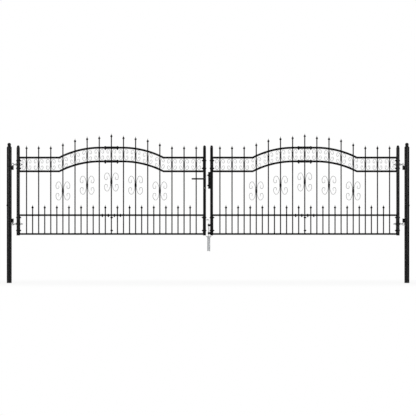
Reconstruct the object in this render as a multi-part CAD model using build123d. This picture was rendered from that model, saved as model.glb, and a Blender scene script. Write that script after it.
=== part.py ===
from build123d import *
import os
from math import asin, cos, pi, radians, sin, sqrt

# A double-leaf driveway gate in black powder-coated steel, with its two posts.
# Lengths are in millimetres. The origin is the middle of the left post's foot.
# X runs along the gate to the right post, Z is up, and the gate is seen from -Y.
# Both leaves are shut here. They swing on pintles and open towards +Y.

# Round pieces are drawn with few flat sides and few levels, but for the pins that the leaves turn on
round_sides = 16
dome_levels = 3
ball_levels = 4

# Posts: round tubes with ball caps
post_diameter = 50.0
post_wall = 2.0
post_rise = 5.0
cap_shoulder_height = 15.0
cap_neck_diameter = 33.0
cap_ball_diameter = 37.0
cap_ball_centre_height = 27.0
cap_plug_depth = 18.0

# Leaf frame: a round hinge stile and a square meeting stile
post_to_stile = 90.5
leaf_span = 1879.0
meeting_spacing = 71.0
hinge_stile_diameter = 33.7
meeting_stile_width = 29.0
stile_wall = 2.0
stile_drop = 15.0
stile_rise = 99.0
stile_cap_rim = 3.0
stile_dome_diameter = 27.0
stile_dome_height = 22.0

# Rails: square tubes, the upper two arched over the middle of the leaf
upper_rail_size = 20.0
lower_rail_size = 18.0
bottom_rail_height = 494.0
lower_bay_height = 190.0
middle_bay_height = 442.0
frieze_height = 138.0
arch_half_span = 525.0
arch_flat_half = 111.0
arch_rise = 100.0

# End flats that bolt each half panel to its stile and to the other half
stile_flat_thickness = 3.0
centre_flat_thickness = 5.5
flat_width = 18.0

# Pickets: tall ones, with a short one in the middle of each bay
picket_width = 12.0
picket_sides = 4
picket_count = 15
end_bay = 84.1
tall_picket_rise = 84.0
short_picket_rise = 66.0
# How far the tall pickets rise over the top rail, from the leaf's middle outwards
picket_rise_shares = (1.25, 1.01, 1.01, 1.09, 1.15, 1.0, 1.0, 1.0)

# Sleeves that join the two half panels at the crown of both arches
sleeve_length = 148.0
sleeve_wall = 2.2

# Cast spear tips, with a diamond section
tip_height = 40.0
tip_width = 24.0
tip_thickness = 15.0
tip_level_shares = ((0.0, 0.50), (0.28, 1.0), (0.54, 0.38), (1.0, 0.0))

# C scrolls, in back-to-back pairs held to a picket by a collar
scroll_height = 197.0
scroll_bar_thickness = 3.2
scroll_bar_depth = 10.0
scroll_back_share = 0.08
# Each bend is its radius as a share of the scroll's height, its turn in degrees and its sides
scroll_bend_shares = (
    (0.645, 32.0, 1),
    (0.095, 104.0, 3),
    (0.258, 66.0, 2),
    (0.0705, 154.0, 3),
    (0.1435, 40.0, 1),
)
# Places of the pairs: pickets from the leaf's middle, and the collar's share of the middle bay
scroll_place_shares = ((0, 0.756), (2, 0.683), (4, 0.552))
collar_height = 30.0
collar_wall = 1.3

# Hinges: pintles on the posts, with eye bolts through the hinge stiles
hinge_gap = 2.5
pin_diameter = 10.0
pin_length = 28.0
pintle_boss_diameter = 15.0
pintle_boss_height = 42.0
pintle_web_thickness = 8.0
upper_pintle_rise = 56.0
lower_pintle_rise = 114.0
eye_diameter = 20.0
eye_height = 23.0
eye_bolt_diameter = 12.0
eye_bolt_sides = 8
eye_bolt_tail = 48.0
lower_eye_gap = 2.0

# Lock in the left meeting stile, with levers on both faces
lever_height = 1050.0
lever_length = 125.0
lever_width = 14.0
lever_thickness = 12.0
lever_standoff = 42.0
lever_bend_radius = 14.0
spindle_size = 8.0
handle_plate_width = 25.0
handle_plate_length = 165.0
handle_plate_thickness = 7.0
handle_plate_chamfer = 4.0
handle_plate_drop = 47.0
cylinder_drop = 92.0
cylinder_diameter = 17.0
cylinder_tail_width = 10.0
cylinder_tail_depth = 24.0
cylinder_protrusion = 3.0
forend_width = 20.0
forend_length = 170.0
lock_case_depth = 20.0
lock_case_thickness = 15.0
lock_case_length = 150.0

# Keep on the right meeting stile, with pockets for the latch and the bolt
keep_depth = 20.0
keep_width = 26.0
keep_drop = 100.0
keep_length = 169.0
keep_pocket_depth = 15.0
keep_pocket_width = 14.0
keep_pocket_length = 26.0
keep_latch_drop = 1.0
keep_bolt_drop = 35.0

# Drop bolt on the right meeting stile, and its socket in the ground
bolt_diameter = 10.0
bolt_sides = 8
bolt_offset = 14.5
bolt_drop = 1.0
bolt_arm_rise = 157.0
bolt_arm_gap = 5.5
bolt_bend = 5.0
guide_wall = 4.2
guide_height = 21.5
upper_guide_rise = 92.5
lower_guide_rise = 13.0
socket_diameter = 29.0
socket_wall = 2.5
socket_mouth_diameter = 58.0
socket_mouth_rim = 2.0
socket_funnel_height = 13.0
socket_gap = 7.0
socket_length = 151.0

# Fits
pin_clearance = 0.3
fit_clearance = 0.2
running_clearance = 0.4
hole_clearance = 0.5
overrun = 5.0

# Places along the gate
post_radius = post_diameter / 2
hinge_stile_radius = hinge_stile_diameter / 2
meeting_stile_half = meeting_stile_width / 2
picket_radius = picket_width / 2
pin_offset = post_radius + hinge_gap + eye_diameter / 2
hinge_stile_x = post_to_stile
leaf_centre_x = hinge_stile_x + leaf_span / 2
meeting_stile_x = hinge_stile_x + leaf_span
right_meeting_stile_x = meeting_stile_x + meeting_spacing
keep_face_x = right_meeting_stile_x - meeting_stile_half
bolt_x = keep_face_x - bolt_offset
post_spacing = 2 * meeting_stile_x + meeting_spacing
gate_middle = Plane.YZ.offset(post_spacing / 2)
middle_picket = picket_count // 2
picket_pitch = (leaf_span / 2 - end_bay) / middle_picket
arch_run = arch_half_span - arch_flat_half
arch_radius = (arch_run**2 + arch_rise**2) / (2 * arch_rise)

# Heights over the posts' feet
mid_rail_height = bottom_rail_height + lower_bay_height
second_rail_height = mid_rail_height + middle_bay_height
top_rail_height = second_rail_height + frieze_height
stile_bottom = bottom_rail_height - stile_drop
stile_top = top_rail_height + stile_rise
stile_height = stile_top - stile_bottom
post_height = stile_top + post_rise
short_picket_top = mid_rail_height + short_picket_rise
upper_pintle_top = second_rail_height + upper_pintle_rise
lower_pintle_bottom = bottom_rail_height + lower_pintle_rise
upper_eye_height = upper_pintle_top + pin_clearance + eye_height / 2
lower_eye_height = lower_pintle_bottom - lower_eye_gap - eye_height / 2
eye_heights = (lower_eye_height, upper_eye_height)
lock_middle = lever_height - handle_plate_drop
upright = (Align.CENTER, Align.CENTER, Align.MIN)


def square_tube(width, wall, height):
    """A square tube standing on the origin."""
    outside = Box(width, width, height, align=upright)
    inside = width - 2 * wall
    return outside - Box(inside, inside, height, align=upright)


def few_sided(diameter, sides):
    """A section of few sides, with flats to the left and the right, that stands in for a round one."""
    return RegularPolygon(diameter / 2, sides, major_radius=False, rotation=180 / sides)


def tube(diameter, wall, height):
    """A round tube standing on the origin."""
    outside = few_sided(diameter, round_sides)
    return extrude(outside - few_sided(diameter - 2 * wall, round_sides), height)


def faceted(rings, hollow=False):
    """A solid with flat faces between rings of corners. A last ring of no size makes a point."""
    pairs = list(zip(rings, rings[1:]))
    outlines = []
    if hollow:
        pairs.append((rings[-1], rings[0]))
    else:
        outlines = [ring for ring in (rings[0], rings[-1]) if len(set(ring)) > 1]
    for low, high in pairs:
        for corner in range(len(low)):
            corners = (low[corner - 1], low[corner], high[corner], high[corner - 1])
            outlines.append(list(dict.fromkeys(corners)))
    return Solid(Shell([Face(Wire.make_polygon(outline)) for outline in outlines]))


def turned(profile, hollow=False):
    """A profile of radius and height turned about Z in few sides."""
    step = 2 * pi / round_sides
    rings = []
    for radius, height in profile:
        corner = radius / cos(step / 2)
        angles = [(index + 0.5) * step for index in range(round_sides)]
        rings.append([(corner * cos(angle), corner * sin(angle), height) for angle in angles])
    return faceted(rings, hollow)


def ball_profile(radius, centre, start_angle, levels):
    """The levels of a ball, from an angle under its middle up to its top."""
    profile = []
    for level in range(levels):
        angle = start_angle + (pi / 2 - start_angle) * level / levels
        profile.append((radius * cos(angle), centre + radius * sin(angle)))
    return profile + [(0, centre + radius)]


def bar_along_x(diameter, start, end, height):
    """An eye bolt's shank, or the hole for it, along X between two places."""
    bar = extrude(few_sided(diameter, eye_bolt_sides), end - start)
    return Pos(start, 0, height) * Rot(0, 90, 0) * bar


def mirrored(pieces):
    """The same pieces on the other leaf or post."""
    return [mirror(piece, about=gate_middle) for piece in pieces]


def post_cap():
    """A plug, a sloping shoulder and a ball, standing on the top of a post."""
    plug_radius = post_radius - post_wall - fit_clearance
    ball_radius = cap_ball_diameter / 2
    sink = asin((cap_ball_centre_height - cap_shoulder_height) / ball_radius)
    profile = [
        (plug_radius, -cap_plug_depth),
        (plug_radius, 0),
        (post_radius, 0),
        (cap_neck_diameter / 2, cap_shoulder_height),
    ]
    profile += ball_profile(ball_radius, cap_ball_centre_height, -sink, ball_levels)
    return turned(profile)


def pintle(bracket_bottom, pin_start):
    """A welded bracket with an upright pin, on the gate side of the left post."""
    boss = extrude(few_sided(pintle_boss_diameter, round_sides), pintle_boss_height)
    web = Box(
        pin_offset,
        pintle_web_thickness,
        pintle_boss_height,
        align=(Align.MIN, Align.CENTER, Align.MIN),
    )
    pin = Cylinder(pin_diameter / 2, pin_length, align=upright)
    bracket = Pos(pin_offset, 0, bracket_bottom) * boss + Pos(0, 0, bracket_bottom) * web
    bracket += Pos(pin_offset, 0, pin_start) * pin
    return bracket - extrude(few_sided(post_diameter, round_sides), post_height)


def pintles():
    """The upper pin points up and the lower one down, so that the leaf can't be lifted off."""
    upper = pintle(upper_pintle_top - pintle_boss_height, upper_pintle_top)
    lower = pintle(lower_pintle_bottom, lower_pintle_bottom - pin_length)
    return [upper, lower]


def eye_bolt(height):
    """A barrel on a threaded shank that passes through the hinge stile."""
    tail_end = hinge_stile_x + eye_bolt_tail
    shank = bar_along_x(eye_bolt_diameter, pin_offset, tail_end, height)
    place = Pos(pin_offset, 0, height - eye_height / 2)
    barrel = extrude(few_sided(eye_diameter, round_sides), eye_height)
    bore = extrude(few_sided(pin_diameter + 2 * pin_clearance, round_sides), eye_height)
    return shank + place * barrel - place * bore


def eye_bolt_hole(height):
    """What the shank of an eye bolt takes out of the stile and the panel's end flat."""
    diameter = eye_bolt_diameter + 2 * hole_clearance
    reach = hinge_stile_radius + stile_flat_thickness + overrun
    return bar_along_x(diameter, hinge_stile_x - reach, hinge_stile_x + reach, height)


def hinge_stile():
    """The round stile, bored for its two eye bolts."""
    stile = Pos(hinge_stile_x, 0, stile_bottom) * tube(
        hinge_stile_diameter, stile_wall, stile_height
    )
    for height in eye_heights:
        stile -= eye_bolt_hole(height)
    return stile


def meeting_stile():
    """The square stile at the middle of the gate."""
    place = Pos(meeting_stile_x, 0, stile_bottom)
    return place * square_tube(meeting_stile_width, stile_wall, stile_height)


def dome_profile():
    """The levels of a stile cap's dome, over its rim."""
    radius = stile_dome_diameter / 2
    centre = stile_cap_rim + stile_dome_height - radius
    return [(radius, stile_cap_rim)] + ball_profile(radius, centre, 0, dome_levels)


def stile_caps():
    """Domed caps on the hinge stile and the meeting stile."""
    round_rim = [(hinge_stile_radius, 0), (hinge_stile_radius, stile_cap_rim)]
    square_rim = Box(meeting_stile_width, meeting_stile_width, stile_cap_rim, align=upright)
    return [
        Pos(hinge_stile_x, 0, stile_top) * turned(round_rim + dome_profile()),
        Pos(meeting_stile_x, 0, stile_top) * (square_rim + turned(dome_profile())),
    ]


def straight_rail(size, end, height):
    """A rail from the leaf's middle to its end, level all the way."""
    rail = Box(end, size, size, align=(Align.MIN, Align.CENTER, Align.CENTER))
    return Pos(0, 0, height) * rail


def arched_rail(end, height):
    """A rail that runs level from the stile, kinks up and curves to the flat crown."""
    half = upper_rail_size / 2
    start = picket_radius + running_clearance
    crown = height + arch_rise
    centre_z = crown - arch_radius

    def kink(side):
        across = (arch_radius + side) ** 2 - (height + side - centre_z) ** 2
        return (arch_flat_half + sqrt(across), height + side)

    def bend(side):
        low_x, low_z = kink(side)
        middle_x = (arch_flat_half + low_x) / 2
        middle_z = centre_z + sqrt((arch_radius + side) ** 2 - (middle_x - arch_flat_half) ** 2)
        return ThreePointArc((arch_flat_half, crown + side), (middle_x, middle_z), (low_x, low_z))

    outline = [
        Line((start, crown - half), (start, crown + half)),
        Line((start, crown + half), (arch_flat_half, crown + half)),
        bend(half),
        Polyline(kink(half), (end, height + half), (end, height - half), kink(-half)),
        bend(-half),
        Line((arch_flat_half, crown - half), (start, crown - half)),
    ]
    face = Plane.XZ * make_face(outline)
    return extrude(face, half, both=True)


def picket_section():
    """The section of every picket."""
    return few_sided(picket_width, picket_sides)


def picket(x, bottom, top):
    """A bar of few sides between two heights."""
    return Pos(x, 0, bottom) * extrude(picket_section(), top - bottom)


def rail_rise(x):
    """How far an arched rail has risen at a place measured from the leaf's middle."""
    run = max(x - arch_flat_half, 0)
    if run > arch_run:
        return 0
    return arch_rise - arch_radius + sqrt(arch_radius**2 - run**2)


def tall_top(step):
    """The top of the tall picket that stands some steps from the leaf's middle."""
    rail = top_rail_height + rail_rise(step * picket_pitch)
    return rail + picket_rise_shares[step] * tall_picket_rise


def end_flat(x, thickness, low_rail, low_size, high_rail, high_size):
    """A flat bar that stands between two rails, its far face at x."""
    bottom = low_rail + low_size / 2
    height = high_rail - high_size / 2 - bottom
    flat = Box(thickness, flat_width, height, align=(Align.MAX, Align.CENTER, Align.MIN))
    return Pos(x, 0, bottom) * flat


def half_panel(end):
    """Half of a leaf's panel, from the leaf's middle out to the face of a stile."""
    rails = [
        straight_rail(lower_rail_size, end, bottom_rail_height),
        straight_rail(lower_rail_size, end, mid_rail_height),
        arched_rail(end, second_rail_height),
        arched_rail(end, top_rail_height),
    ]
    pickets = []
    for step in range(1, middle_picket + 1):
        x = step * picket_pitch
        pickets.append(picket(x, bottom_rail_height, tall_top(step)))
        pickets.append(picket(x - picket_pitch / 2, bottom_rail_height, short_picket_top))
    lower_gap = (bottom_rail_height, lower_rail_size, mid_rail_height, lower_rail_size)
    upper_gap = (second_rail_height, upper_rail_size, top_rail_height, upper_rail_size)
    flats = [
        end_flat(end, stile_flat_thickness, *lower_gap),
        end_flat(end, stile_flat_thickness, *upper_gap),
        end_flat(centre_flat_thickness, centre_flat_thickness, *lower_gap),
    ]
    return rails[0].fuse(*rails[1:], *pickets, *flats)


def hinge_panel():
    """The half panel beside the hinge stile, bored for the eye bolts."""
    half = half_panel(leaf_span / 2 - hinge_stile_radius)
    panel = Pos(leaf_centre_x, 0, 0) * mirror(half, about=Plane.YZ)
    for height in eye_heights:
        panel -= eye_bolt_hole(height)
    return panel


def meeting_panel():
    """The half panel beside the meeting stile."""
    return Pos(leaf_centre_x, 0, 0) * half_panel(leaf_span / 2 - meeting_stile_half)


def centre_picket():
    """The middle picket on the mid rail, with the sleeves that join both arched rails."""
    bar = picket(0, mid_rail_height + lower_rail_size / 2, tall_top(0))
    inside = upper_rail_size + 2 * fit_clearance
    outside = inside + 2 * sleeve_wall
    sleeves = []
    for rail in (second_rail_height, top_rail_height):
        place = Pos(0, 0, rail + arch_rise)
        sleeve = Box(sleeve_length, outside, outside) - Box(sleeve_length, inside, inside)
        sleeves.append(place * sleeve)
    return Pos(leaf_centre_x, 0, 0) * bar.fuse(*sleeves)


def spear_tip():
    """A spear tip standing on the origin: flat faces between diamonds of one proportion."""
    rings = []
    for rise_share, size_share in tip_level_shares:
        across = size_share * tip_width / 2
        through = size_share * tip_thickness / 2
        z = rise_share * tip_height
        rings.append([(across, 0, z), (0, through, z), (-across, 0, z), (0, -through, z)])
    return faceted(rings)


def spear_tips():
    """A tip on every picket of the leaf."""
    tip = spear_tip()
    tips = []
    for index in range(picket_count):
        x = leaf_centre_x + (index - middle_picket) * picket_pitch
        tips.append(Pos(x, 0, tall_top(abs(index - middle_picket))) * tip)
        if index < picket_count - 1:
            tips.append(Pos(x + picket_pitch / 2, 0, short_picket_top) * tip)
    return tips


def scroll_path():
    """Half a C scroll's middle line, from the middle of its back to its inner end."""
    out = 0.0
    along = scroll_back_share * scroll_height
    heading = pi / 2
    points = [(out, along)]
    for radius_share, turn, sides in scroll_bend_shares:
        step = radians(turn) / sides
        chord = 2 * radius_share * scroll_height * sin(step / 2)
        for _ in range(sides):
            out += chord * cos(heading - step / 2)
            along += chord * sin(heading - step / 2)
            heading -= step
            points.append((out, along))
    return points


def strip_outline(points, thickness):
    """The closed outline of a flat bar bent along a line of points, mitred at the bends."""
    line = [Vector(*point) for point in points]
    legs = [(after - before).normalized() for before, after in zip(line, line[1:])]
    normals = [Vector(-leg.Y, leg.X) for leg in legs]
    one_side = []
    other_side = []
    for index, point in enumerate(line):
        before = normals[max(index - 1, 0)]
        after = normals[min(index, len(normals) - 1)]
        mitre = (before + after) / (1 + before.dot(after)) * (thickness / 2)
        one_side.append(point + mitre)
        other_side.append(point - mitre)
    return one_side + other_side[::-1]


def scroll():
    """A C scroll on the +X side of a picket, its back against the picket."""
    half = scroll_path()
    points = [(out, -along) for out, along in reversed(half)] + half
    corners = strip_outline(points, scroll_bar_thickness)
    face = Plane.XZ * make_face(Polyline(*corners, close=True))
    bar = extrude(face, scroll_bar_depth / 2, both=True)
    return Pos(picket_radius + scroll_bar_thickness / 2, 0, 0) * bar


def collar():
    """A band round a picket and the backs of its two scrolls."""
    inside_x = picket_width + 2 * scroll_bar_thickness + 2 * fit_clearance
    inside_y = picket_section().bounding_box().size.Y + 2 * fit_clearance
    band = Box(inside_x + 2 * collar_wall, inside_y + 2 * collar_wall, collar_height)
    return band - Box(inside_x, inside_y, collar_height)


def scroll_spots():
    """Every place on the leaf that has a pair of scrolls."""
    spots = []
    for step, height_share in scroll_place_shares:
        height = mid_rail_height + height_share * middle_bay_height
        for side in sorted({-step, step}):
            spots.append(Pos(leaf_centre_x + side * picket_pitch, 0, height))
    return spots


def scrolls():
    """The back-to-back pairs of C scrolls of the leaf."""
    right = scroll()
    left = mirror(right, about=Plane.YZ)
    return [spot * half for spot in scroll_spots() for half in (left, right)]


def collars():
    """The collars of the leaf's scrolls."""
    band = collar()
    return [spot * band for spot in scroll_spots()]


def cylinder_section(clearance):
    """A key cylinder's outline: a round barrel over a narrow tail."""
    tail = Rectangle(
        cylinder_tail_width + 2 * clearance,
        cylinder_tail_depth + clearance,
        align=(Align.CENTER, Align.MAX),
    )
    return few_sided(cylinder_diameter + 2 * clearance, round_sides) + tail


def along_y(section, half_length):
    """A section drawn across the gate, drawn out both ways along Y from the left leaf's stile."""
    return extrude(Plane.XZ.move(Pos(meeting_stile_x, 0, 0)) * section, half_length, both=True)


def spindle_hole_size():
    """A square hole that the spindle can turn in."""
    return sqrt(2) * spindle_size + 2 * hole_clearance


def lock_windows():
    """Plain windows for the spindle and the key cylinder, which the handle plates cover."""
    side = spindle_hole_size()
    barrel_top = cylinder_diameter / 2 + hole_clearance
    barrel = Pos(0, barrel_top) * Rectangle(
        2 * barrel_top,
        barrel_top + cylinder_tail_depth + hole_clearance,
        align=(Align.CENTER, Align.MAX),
    )
    return [
        Pos(0, 0, lever_height) * along_y(Rectangle(side, side), meeting_stile_width),
        Pos(0, 0, lever_height - cylinder_drop) * along_y(barrel, meeting_stile_width),
    ]


def lock_stile():
    """The left meeting stile, cut for the lock's forend, spindle and key cylinder."""
    stile = meeting_stile()
    window = Box(
        2 * stile_wall,
        forend_width + 2 * fit_clearance,
        forend_length + 2 * fit_clearance,
    )
    stile -= Pos(meeting_stile_x + meeting_stile_half, 0, lock_middle) * window
    for opening in lock_windows():
        stile -= opening
    return stile


def lock_case():
    """The lock's case inside the stile, with its forend flush in the stile's face."""
    face = Pos(meeting_stile_x + meeting_stile_half, 0, lock_middle)
    inward = (Align.MAX, Align.CENTER, Align.CENTER)
    forend = Box(stile_wall, forend_width, forend_length, align=inward)
    case = Pos(-stile_wall, 0, 0) * Box(
        lock_case_depth, lock_case_thickness, lock_case_length, align=inward
    )
    lock = face * (forend + case)
    for opening in lock_windows():
        lock -= opening
    return lock


def handle_plates():
    """The long plates behind the levers, on both faces of the left meeting stile."""
    outline = Rectangle(handle_plate_width, handle_plate_length)
    outline = chamfer(outline.vertices(), handle_plate_chamfer)
    side = spindle_hole_size()
    outline -= Pos(0, handle_plate_drop) * Rectangle(side, side)
    outline -= Pos(0, handle_plate_drop - cylinder_drop) * cylinder_section(hole_clearance)
    plate = Plane.XZ * extrude(outline, handle_plate_thickness)
    plate = Pos(meeting_stile_x, -meeting_stile_half, lock_middle) * plate
    return [plate, mirror(plate, about=Plane.XZ)]


def key_cylinder():
    """The key cylinder, through the stile and both plates."""
    reach = meeting_stile_half + handle_plate_thickness + cylinder_protrusion
    return Pos(0, 0, lever_height - cylinder_drop) * along_y(cylinder_section(0), reach)


def lever_root():
    """How far from the stile's middle the levers start."""
    return meeting_stile_half + handle_plate_thickness + running_clearance


def front_lever():
    """A bent lever that points away from the meeting edge, with a round end, seen here from above."""
    root = -lever_root()
    knee = root - lever_standoff
    line = FilletPolyline((0, root), (0, knee), (-lever_length, knee), radius=lever_bend_radius)
    outline = trace(line, lever_thickness) + Pos(-lever_length, knee) * Circle(lever_thickness / 2)
    lever = extrude(outline, lever_width / 2, both=True)
    return Pos(meeting_stile_x, 0, lever_height) * lever


def lever_spindle():
    """The square spindle between the two levers."""
    bar = Box(spindle_size, 2 * lever_root(), spindle_size)
    return Pos(meeting_stile_x, 0, lever_height) * bar


def lock_keep():
    """The keep on the right meeting stile, open to the gap for the latch and the bolt."""
    body = Pos(keep_face_x, 0, lever_height - keep_drop) * Box(
        keep_depth, keep_width, keep_length, align=(Align.MAX, Align.CENTER, Align.MIN)
    )
    for drop in (keep_latch_drop, keep_bolt_drop):
        body -= Pos(keep_face_x - keep_depth, 0, lever_height - drop) * Box(
            2 * keep_pocket_depth, keep_pocket_width, keep_pocket_length
        )
    return body


def drop_bolt():
    """A rod with its top bent over as a handle, raised clear of its socket."""
    gap = meeting_spacing - meeting_stile_width
    reach = gap - bolt_offset - bolt_arm_gap
    bottom = stile_bottom - bolt_drop
    arm = stile_bottom + bolt_arm_rise
    path = Polyline((0, bottom), (0, arm - bolt_bend), (-bolt_bend, arm), (-reach, arm))
    section = Pos(0, 0, bottom) * few_sided(bolt_diameter, bolt_sides)
    rod = sweep(section, path=Plane.XZ * path, transition=Transition.RIGHT)
    return Pos(bolt_x, 0, 0) * rod


def bolt_guides():
    """The two guide blocks of the drop bolt."""
    bore = few_sided(bolt_diameter + 2 * pin_clearance, bolt_sides)
    around = bolt_diameter / 2 + pin_clearance + guide_wall
    outline = Pos(-around, 0) * Rectangle(
        around + bolt_offset, 2 * around, align=(Align.MIN, Align.CENTER)
    )
    guide = extrude(outline - bore, guide_height)
    rises = (lower_guide_rise, upper_guide_rise)
    return [Pos(bolt_x, 0, stile_bottom + rise) * guide for rise in rises]


def ground_socket():
    """The drop bolt's socket: a tube with a funnel mouth."""
    outer = socket_diameter / 2
    inner = outer - socket_wall
    mouth = socket_mouth_diameter / 2
    socket_top = stile_bottom - socket_gap
    socket_bottom = socket_top - socket_length
    rim = socket_top - socket_mouth_rim
    neck = rim - socket_funnel_height
    profile = [
        (inner, socket_bottom),
        (outer, socket_bottom),
        (outer, neck),
        (mouth, rim),
        (mouth, socket_top),
        (mouth - socket_wall, socket_top),
        (inner, neck + socket_mouth_rim),
    ]
    return Pos(bolt_x, 0, 0) * turned(profile, hollow=True)


def save(name, pieces):
    """Write one node, of one solid or of several that don't touch."""
    solids = []
    for piece in pieces:
        solids.extend(piece.solids())
    shape = solids[0] if len(solids) == 1 else Compound(children=solids)
    export_step(shape, os.path.join("parts", name + ".step"))


def save_pair(name, pieces):
    """Write the same pieces for the left and the right side of the gate."""
    save("left_" + name, pieces)
    save("right_" + name, mirrored(pieces))


def main():
    os.makedirs("parts", exist_ok=True)
    cap = Pos(0, 0, post_height) * post_cap()

    save_pair("post", [tube(post_diameter, post_wall, post_height)])
    save("post_caps", [cap] + mirrored([cap]))
    save_pair("pintles", pintles())
    save("ground_socket", [ground_socket()])

    save_pair("hinge_stile", [hinge_stile()])
    save("left_meeting_stile", [lock_stile()])
    save("right_meeting_stile", mirrored([meeting_stile()]))
    save_pair("stile_caps", stile_caps())
    save_pair("hinge_panel", [hinge_panel()])
    save_pair("meeting_panel", [meeting_panel()])
    save_pair("centre_picket", [centre_picket()])
    save_pair("spear_tips", spear_tips())
    save_pair("scrolls", scrolls())
    save_pair("scroll_collars", collars())
    save_pair("eye_bolts", [eye_bolt(height) for height in eye_heights])

    save("lock_case", [lock_case()])
    save("handle_plates", handle_plates())
    save("key_cylinder", [key_cylinder()])
    save("front_lever", [front_lever()])
    save("rear_lever", [mirror(front_lever(), about=Plane.XZ)])
    save("lever_spindle", [lever_spindle()])

    save("lock_keep", [lock_keep()])
    save("bolt_guides", bolt_guides())
    save("drop_bolt", [drop_bolt()])


main()
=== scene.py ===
# %% [markdown]
# # A double driveway gate in black steel
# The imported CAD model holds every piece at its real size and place. This lesson dresses it:
# round tubes get smooth walls, flat bars get soft edges, the scrolls become real curves, and
# every surface gets a finish. Nothing here moves or resizes a CAD piece.

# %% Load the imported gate
import math
import bmesh
import bpy
from mathutils import Euler, Matrix, Vector


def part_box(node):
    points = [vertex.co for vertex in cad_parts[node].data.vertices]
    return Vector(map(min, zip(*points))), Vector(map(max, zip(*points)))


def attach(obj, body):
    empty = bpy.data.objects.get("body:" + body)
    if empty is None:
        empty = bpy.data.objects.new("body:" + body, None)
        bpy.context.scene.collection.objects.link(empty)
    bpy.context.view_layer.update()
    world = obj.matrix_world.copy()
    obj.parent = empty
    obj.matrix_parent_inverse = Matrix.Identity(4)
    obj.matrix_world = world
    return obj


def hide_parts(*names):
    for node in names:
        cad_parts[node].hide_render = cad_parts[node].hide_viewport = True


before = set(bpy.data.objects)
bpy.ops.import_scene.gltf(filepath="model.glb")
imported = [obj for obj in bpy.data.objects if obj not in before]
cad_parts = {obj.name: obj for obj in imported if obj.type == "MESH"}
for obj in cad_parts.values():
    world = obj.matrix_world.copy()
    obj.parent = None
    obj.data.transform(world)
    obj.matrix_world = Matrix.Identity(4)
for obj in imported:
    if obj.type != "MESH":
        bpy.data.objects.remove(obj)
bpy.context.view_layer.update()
scene = bpy.context.scene

# %% [markdown]
# ## Sizes
# Every imported CAD node has a box round its points, so posts and stiles are read from those boxes.
# What a box can't tell, such as the height of a rail or the bend of the arch, is named where it is
# first needed. A millimetre is the unit a metalworker thinks in, so lengths are numbers times mm.

# %% Read the places of posts, stiles and leaves
mm = 0.001


def middle(node):
    """The centre of a CAD node's box."""
    low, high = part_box(node)
    return (low + high) / 2


def extent(node):
    """The three side lengths of a CAD node's box."""
    low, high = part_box(node)
    return high - low


class Leaf:
    """Where one leaf of the gate stands: its stiles, its middle and the way it reaches."""

    def __init__(self, side):
        self.side = side
        self.body = side + "_leaf"
        self.hinge = middle(side + "_hinge_stile")
        self.meeting = middle(side + "_meeting_stile")
        self.x = middle(side + "_centre_picket").x
        self.toward = 1 if self.meeting.x > self.hinge.x else -1
        self.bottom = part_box(side + "_hinge_stile")[0].z
        self.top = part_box(side + "_hinge_stile")[1].z


leaves = [Leaf("left"), Leaf("right")]
left_leaf, right_leaf = leaves
hinge_stile_radius = extent("left_hinge_stile").x / 2
meeting_stile_width = extent("left_meeting_stile").y
post_radius = extent("left_post").x / 2
post_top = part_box("left_post")[1].z
post_places = [middle("left_post").x, middle("right_post").x]
print("leaf middles at x =", [round(leaf.x, 4) for leaf in leaves])

# %% [markdown]
# ## Node trees written as Python
# A shader or a geometry tree could be wired up link by link, but it is easier to read as an
# expression. `Wire` wraps an output socket, so that `1 - mask` adds a Math node by itself.
# `Graph.add` makes any other node: first its settings, then its inputs, plain values or wires.

# %% Wrap a socket


class Wire:
    """An output socket that takes part in sums. Each operator adds one Math node."""

    def __init__(self, graph, socket):
        self.graph = graph
        self.socket = socket

    def math(self, operation, first, second):
        return self.graph.add("ShaderNodeMath", {"operation": operation}, {0: first, 1: second})

    def __add__(self, other):
        return self.math("ADD", self, other)

    def __radd__(self, other):
        return self.math("ADD", other, self)

    def __sub__(self, other):
        return self.math("SUBTRACT", self, other)

    def __rsub__(self, other):
        return self.math("SUBTRACT", other, self)

    def __mul__(self, other):
        return self.math("MULTIPLY", self, other)

    def __rmul__(self, other):
        return self.math("MULTIPLY", other, self)


print("Wire adds, subtracts and multiplies, with plain numbers on either side")

# %% Add any node


class Graph:
    """A node tree, with the one method that adds any node to it."""

    def __init__(self, tree):
        self.tree = tree

    def feed(self, node, inputs):
        """Sets or links a node's inputs. A value is plain or a wire."""
        for key, value in inputs.items():
            if isinstance(value, Wire):
                self.tree.links.new(value.socket, node.inputs[key])
            else:
                node.inputs[key].default_value = value

    def add(self, kind, settings=None, inputs=None, output=0):
        """A new node of a kind, with its settings and inputs. Gives a wire from one output."""
        node = self.tree.nodes.new(kind)
        for name, value in (settings or {}).items():
            setattr(node, name, value)
        self.feed(node, inputs or {})
        if len(node.outputs) == 0:
            return node
        return Wire(self, node.outputs[output])


print("Graph adds nodes to shader trees and geometry trees alike")

# %% [markdown]
# ## Finishes
# Four finishes cover the gate: black powder coat, zinc plate, dipped zinc and nickel. Each is one
# Principled shader. A flat colour would look like plastic, so noise changes colour, roughness and
# bump. All patterns read Object coordinates in metres: a scale of 700 means waves of 1.4 mm.

# %% Define what all finishes share


def finish(name):
    """A new material, its graph, its shader node and the Object coordinates."""
    material = bpy.data.materials.new(name)
    material.use_nodes = True
    graph = Graph(material.node_tree)
    shader = material.node_tree.nodes["Principled BSDF"]
    place = graph.add("ShaderNodeTexCoord", output="Object")
    return material, graph, shader, place


def noise(graph, place, scale, detail):
    """Soft random waves, about 1 / scale metres apart."""
    inputs = {"Vector": place, "Scale": scale, "Detail": detail}
    return graph.add("ShaderNodeTexNoise", None, inputs, "Fac")


def blend_colours(graph, factor, first, second):
    """A colour between two others."""
    inputs = {0: factor, 6: first, 7: second}
    return graph.add("ShaderNodeMix", {"data_type": "RGBA"}, inputs, "Result")


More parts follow.
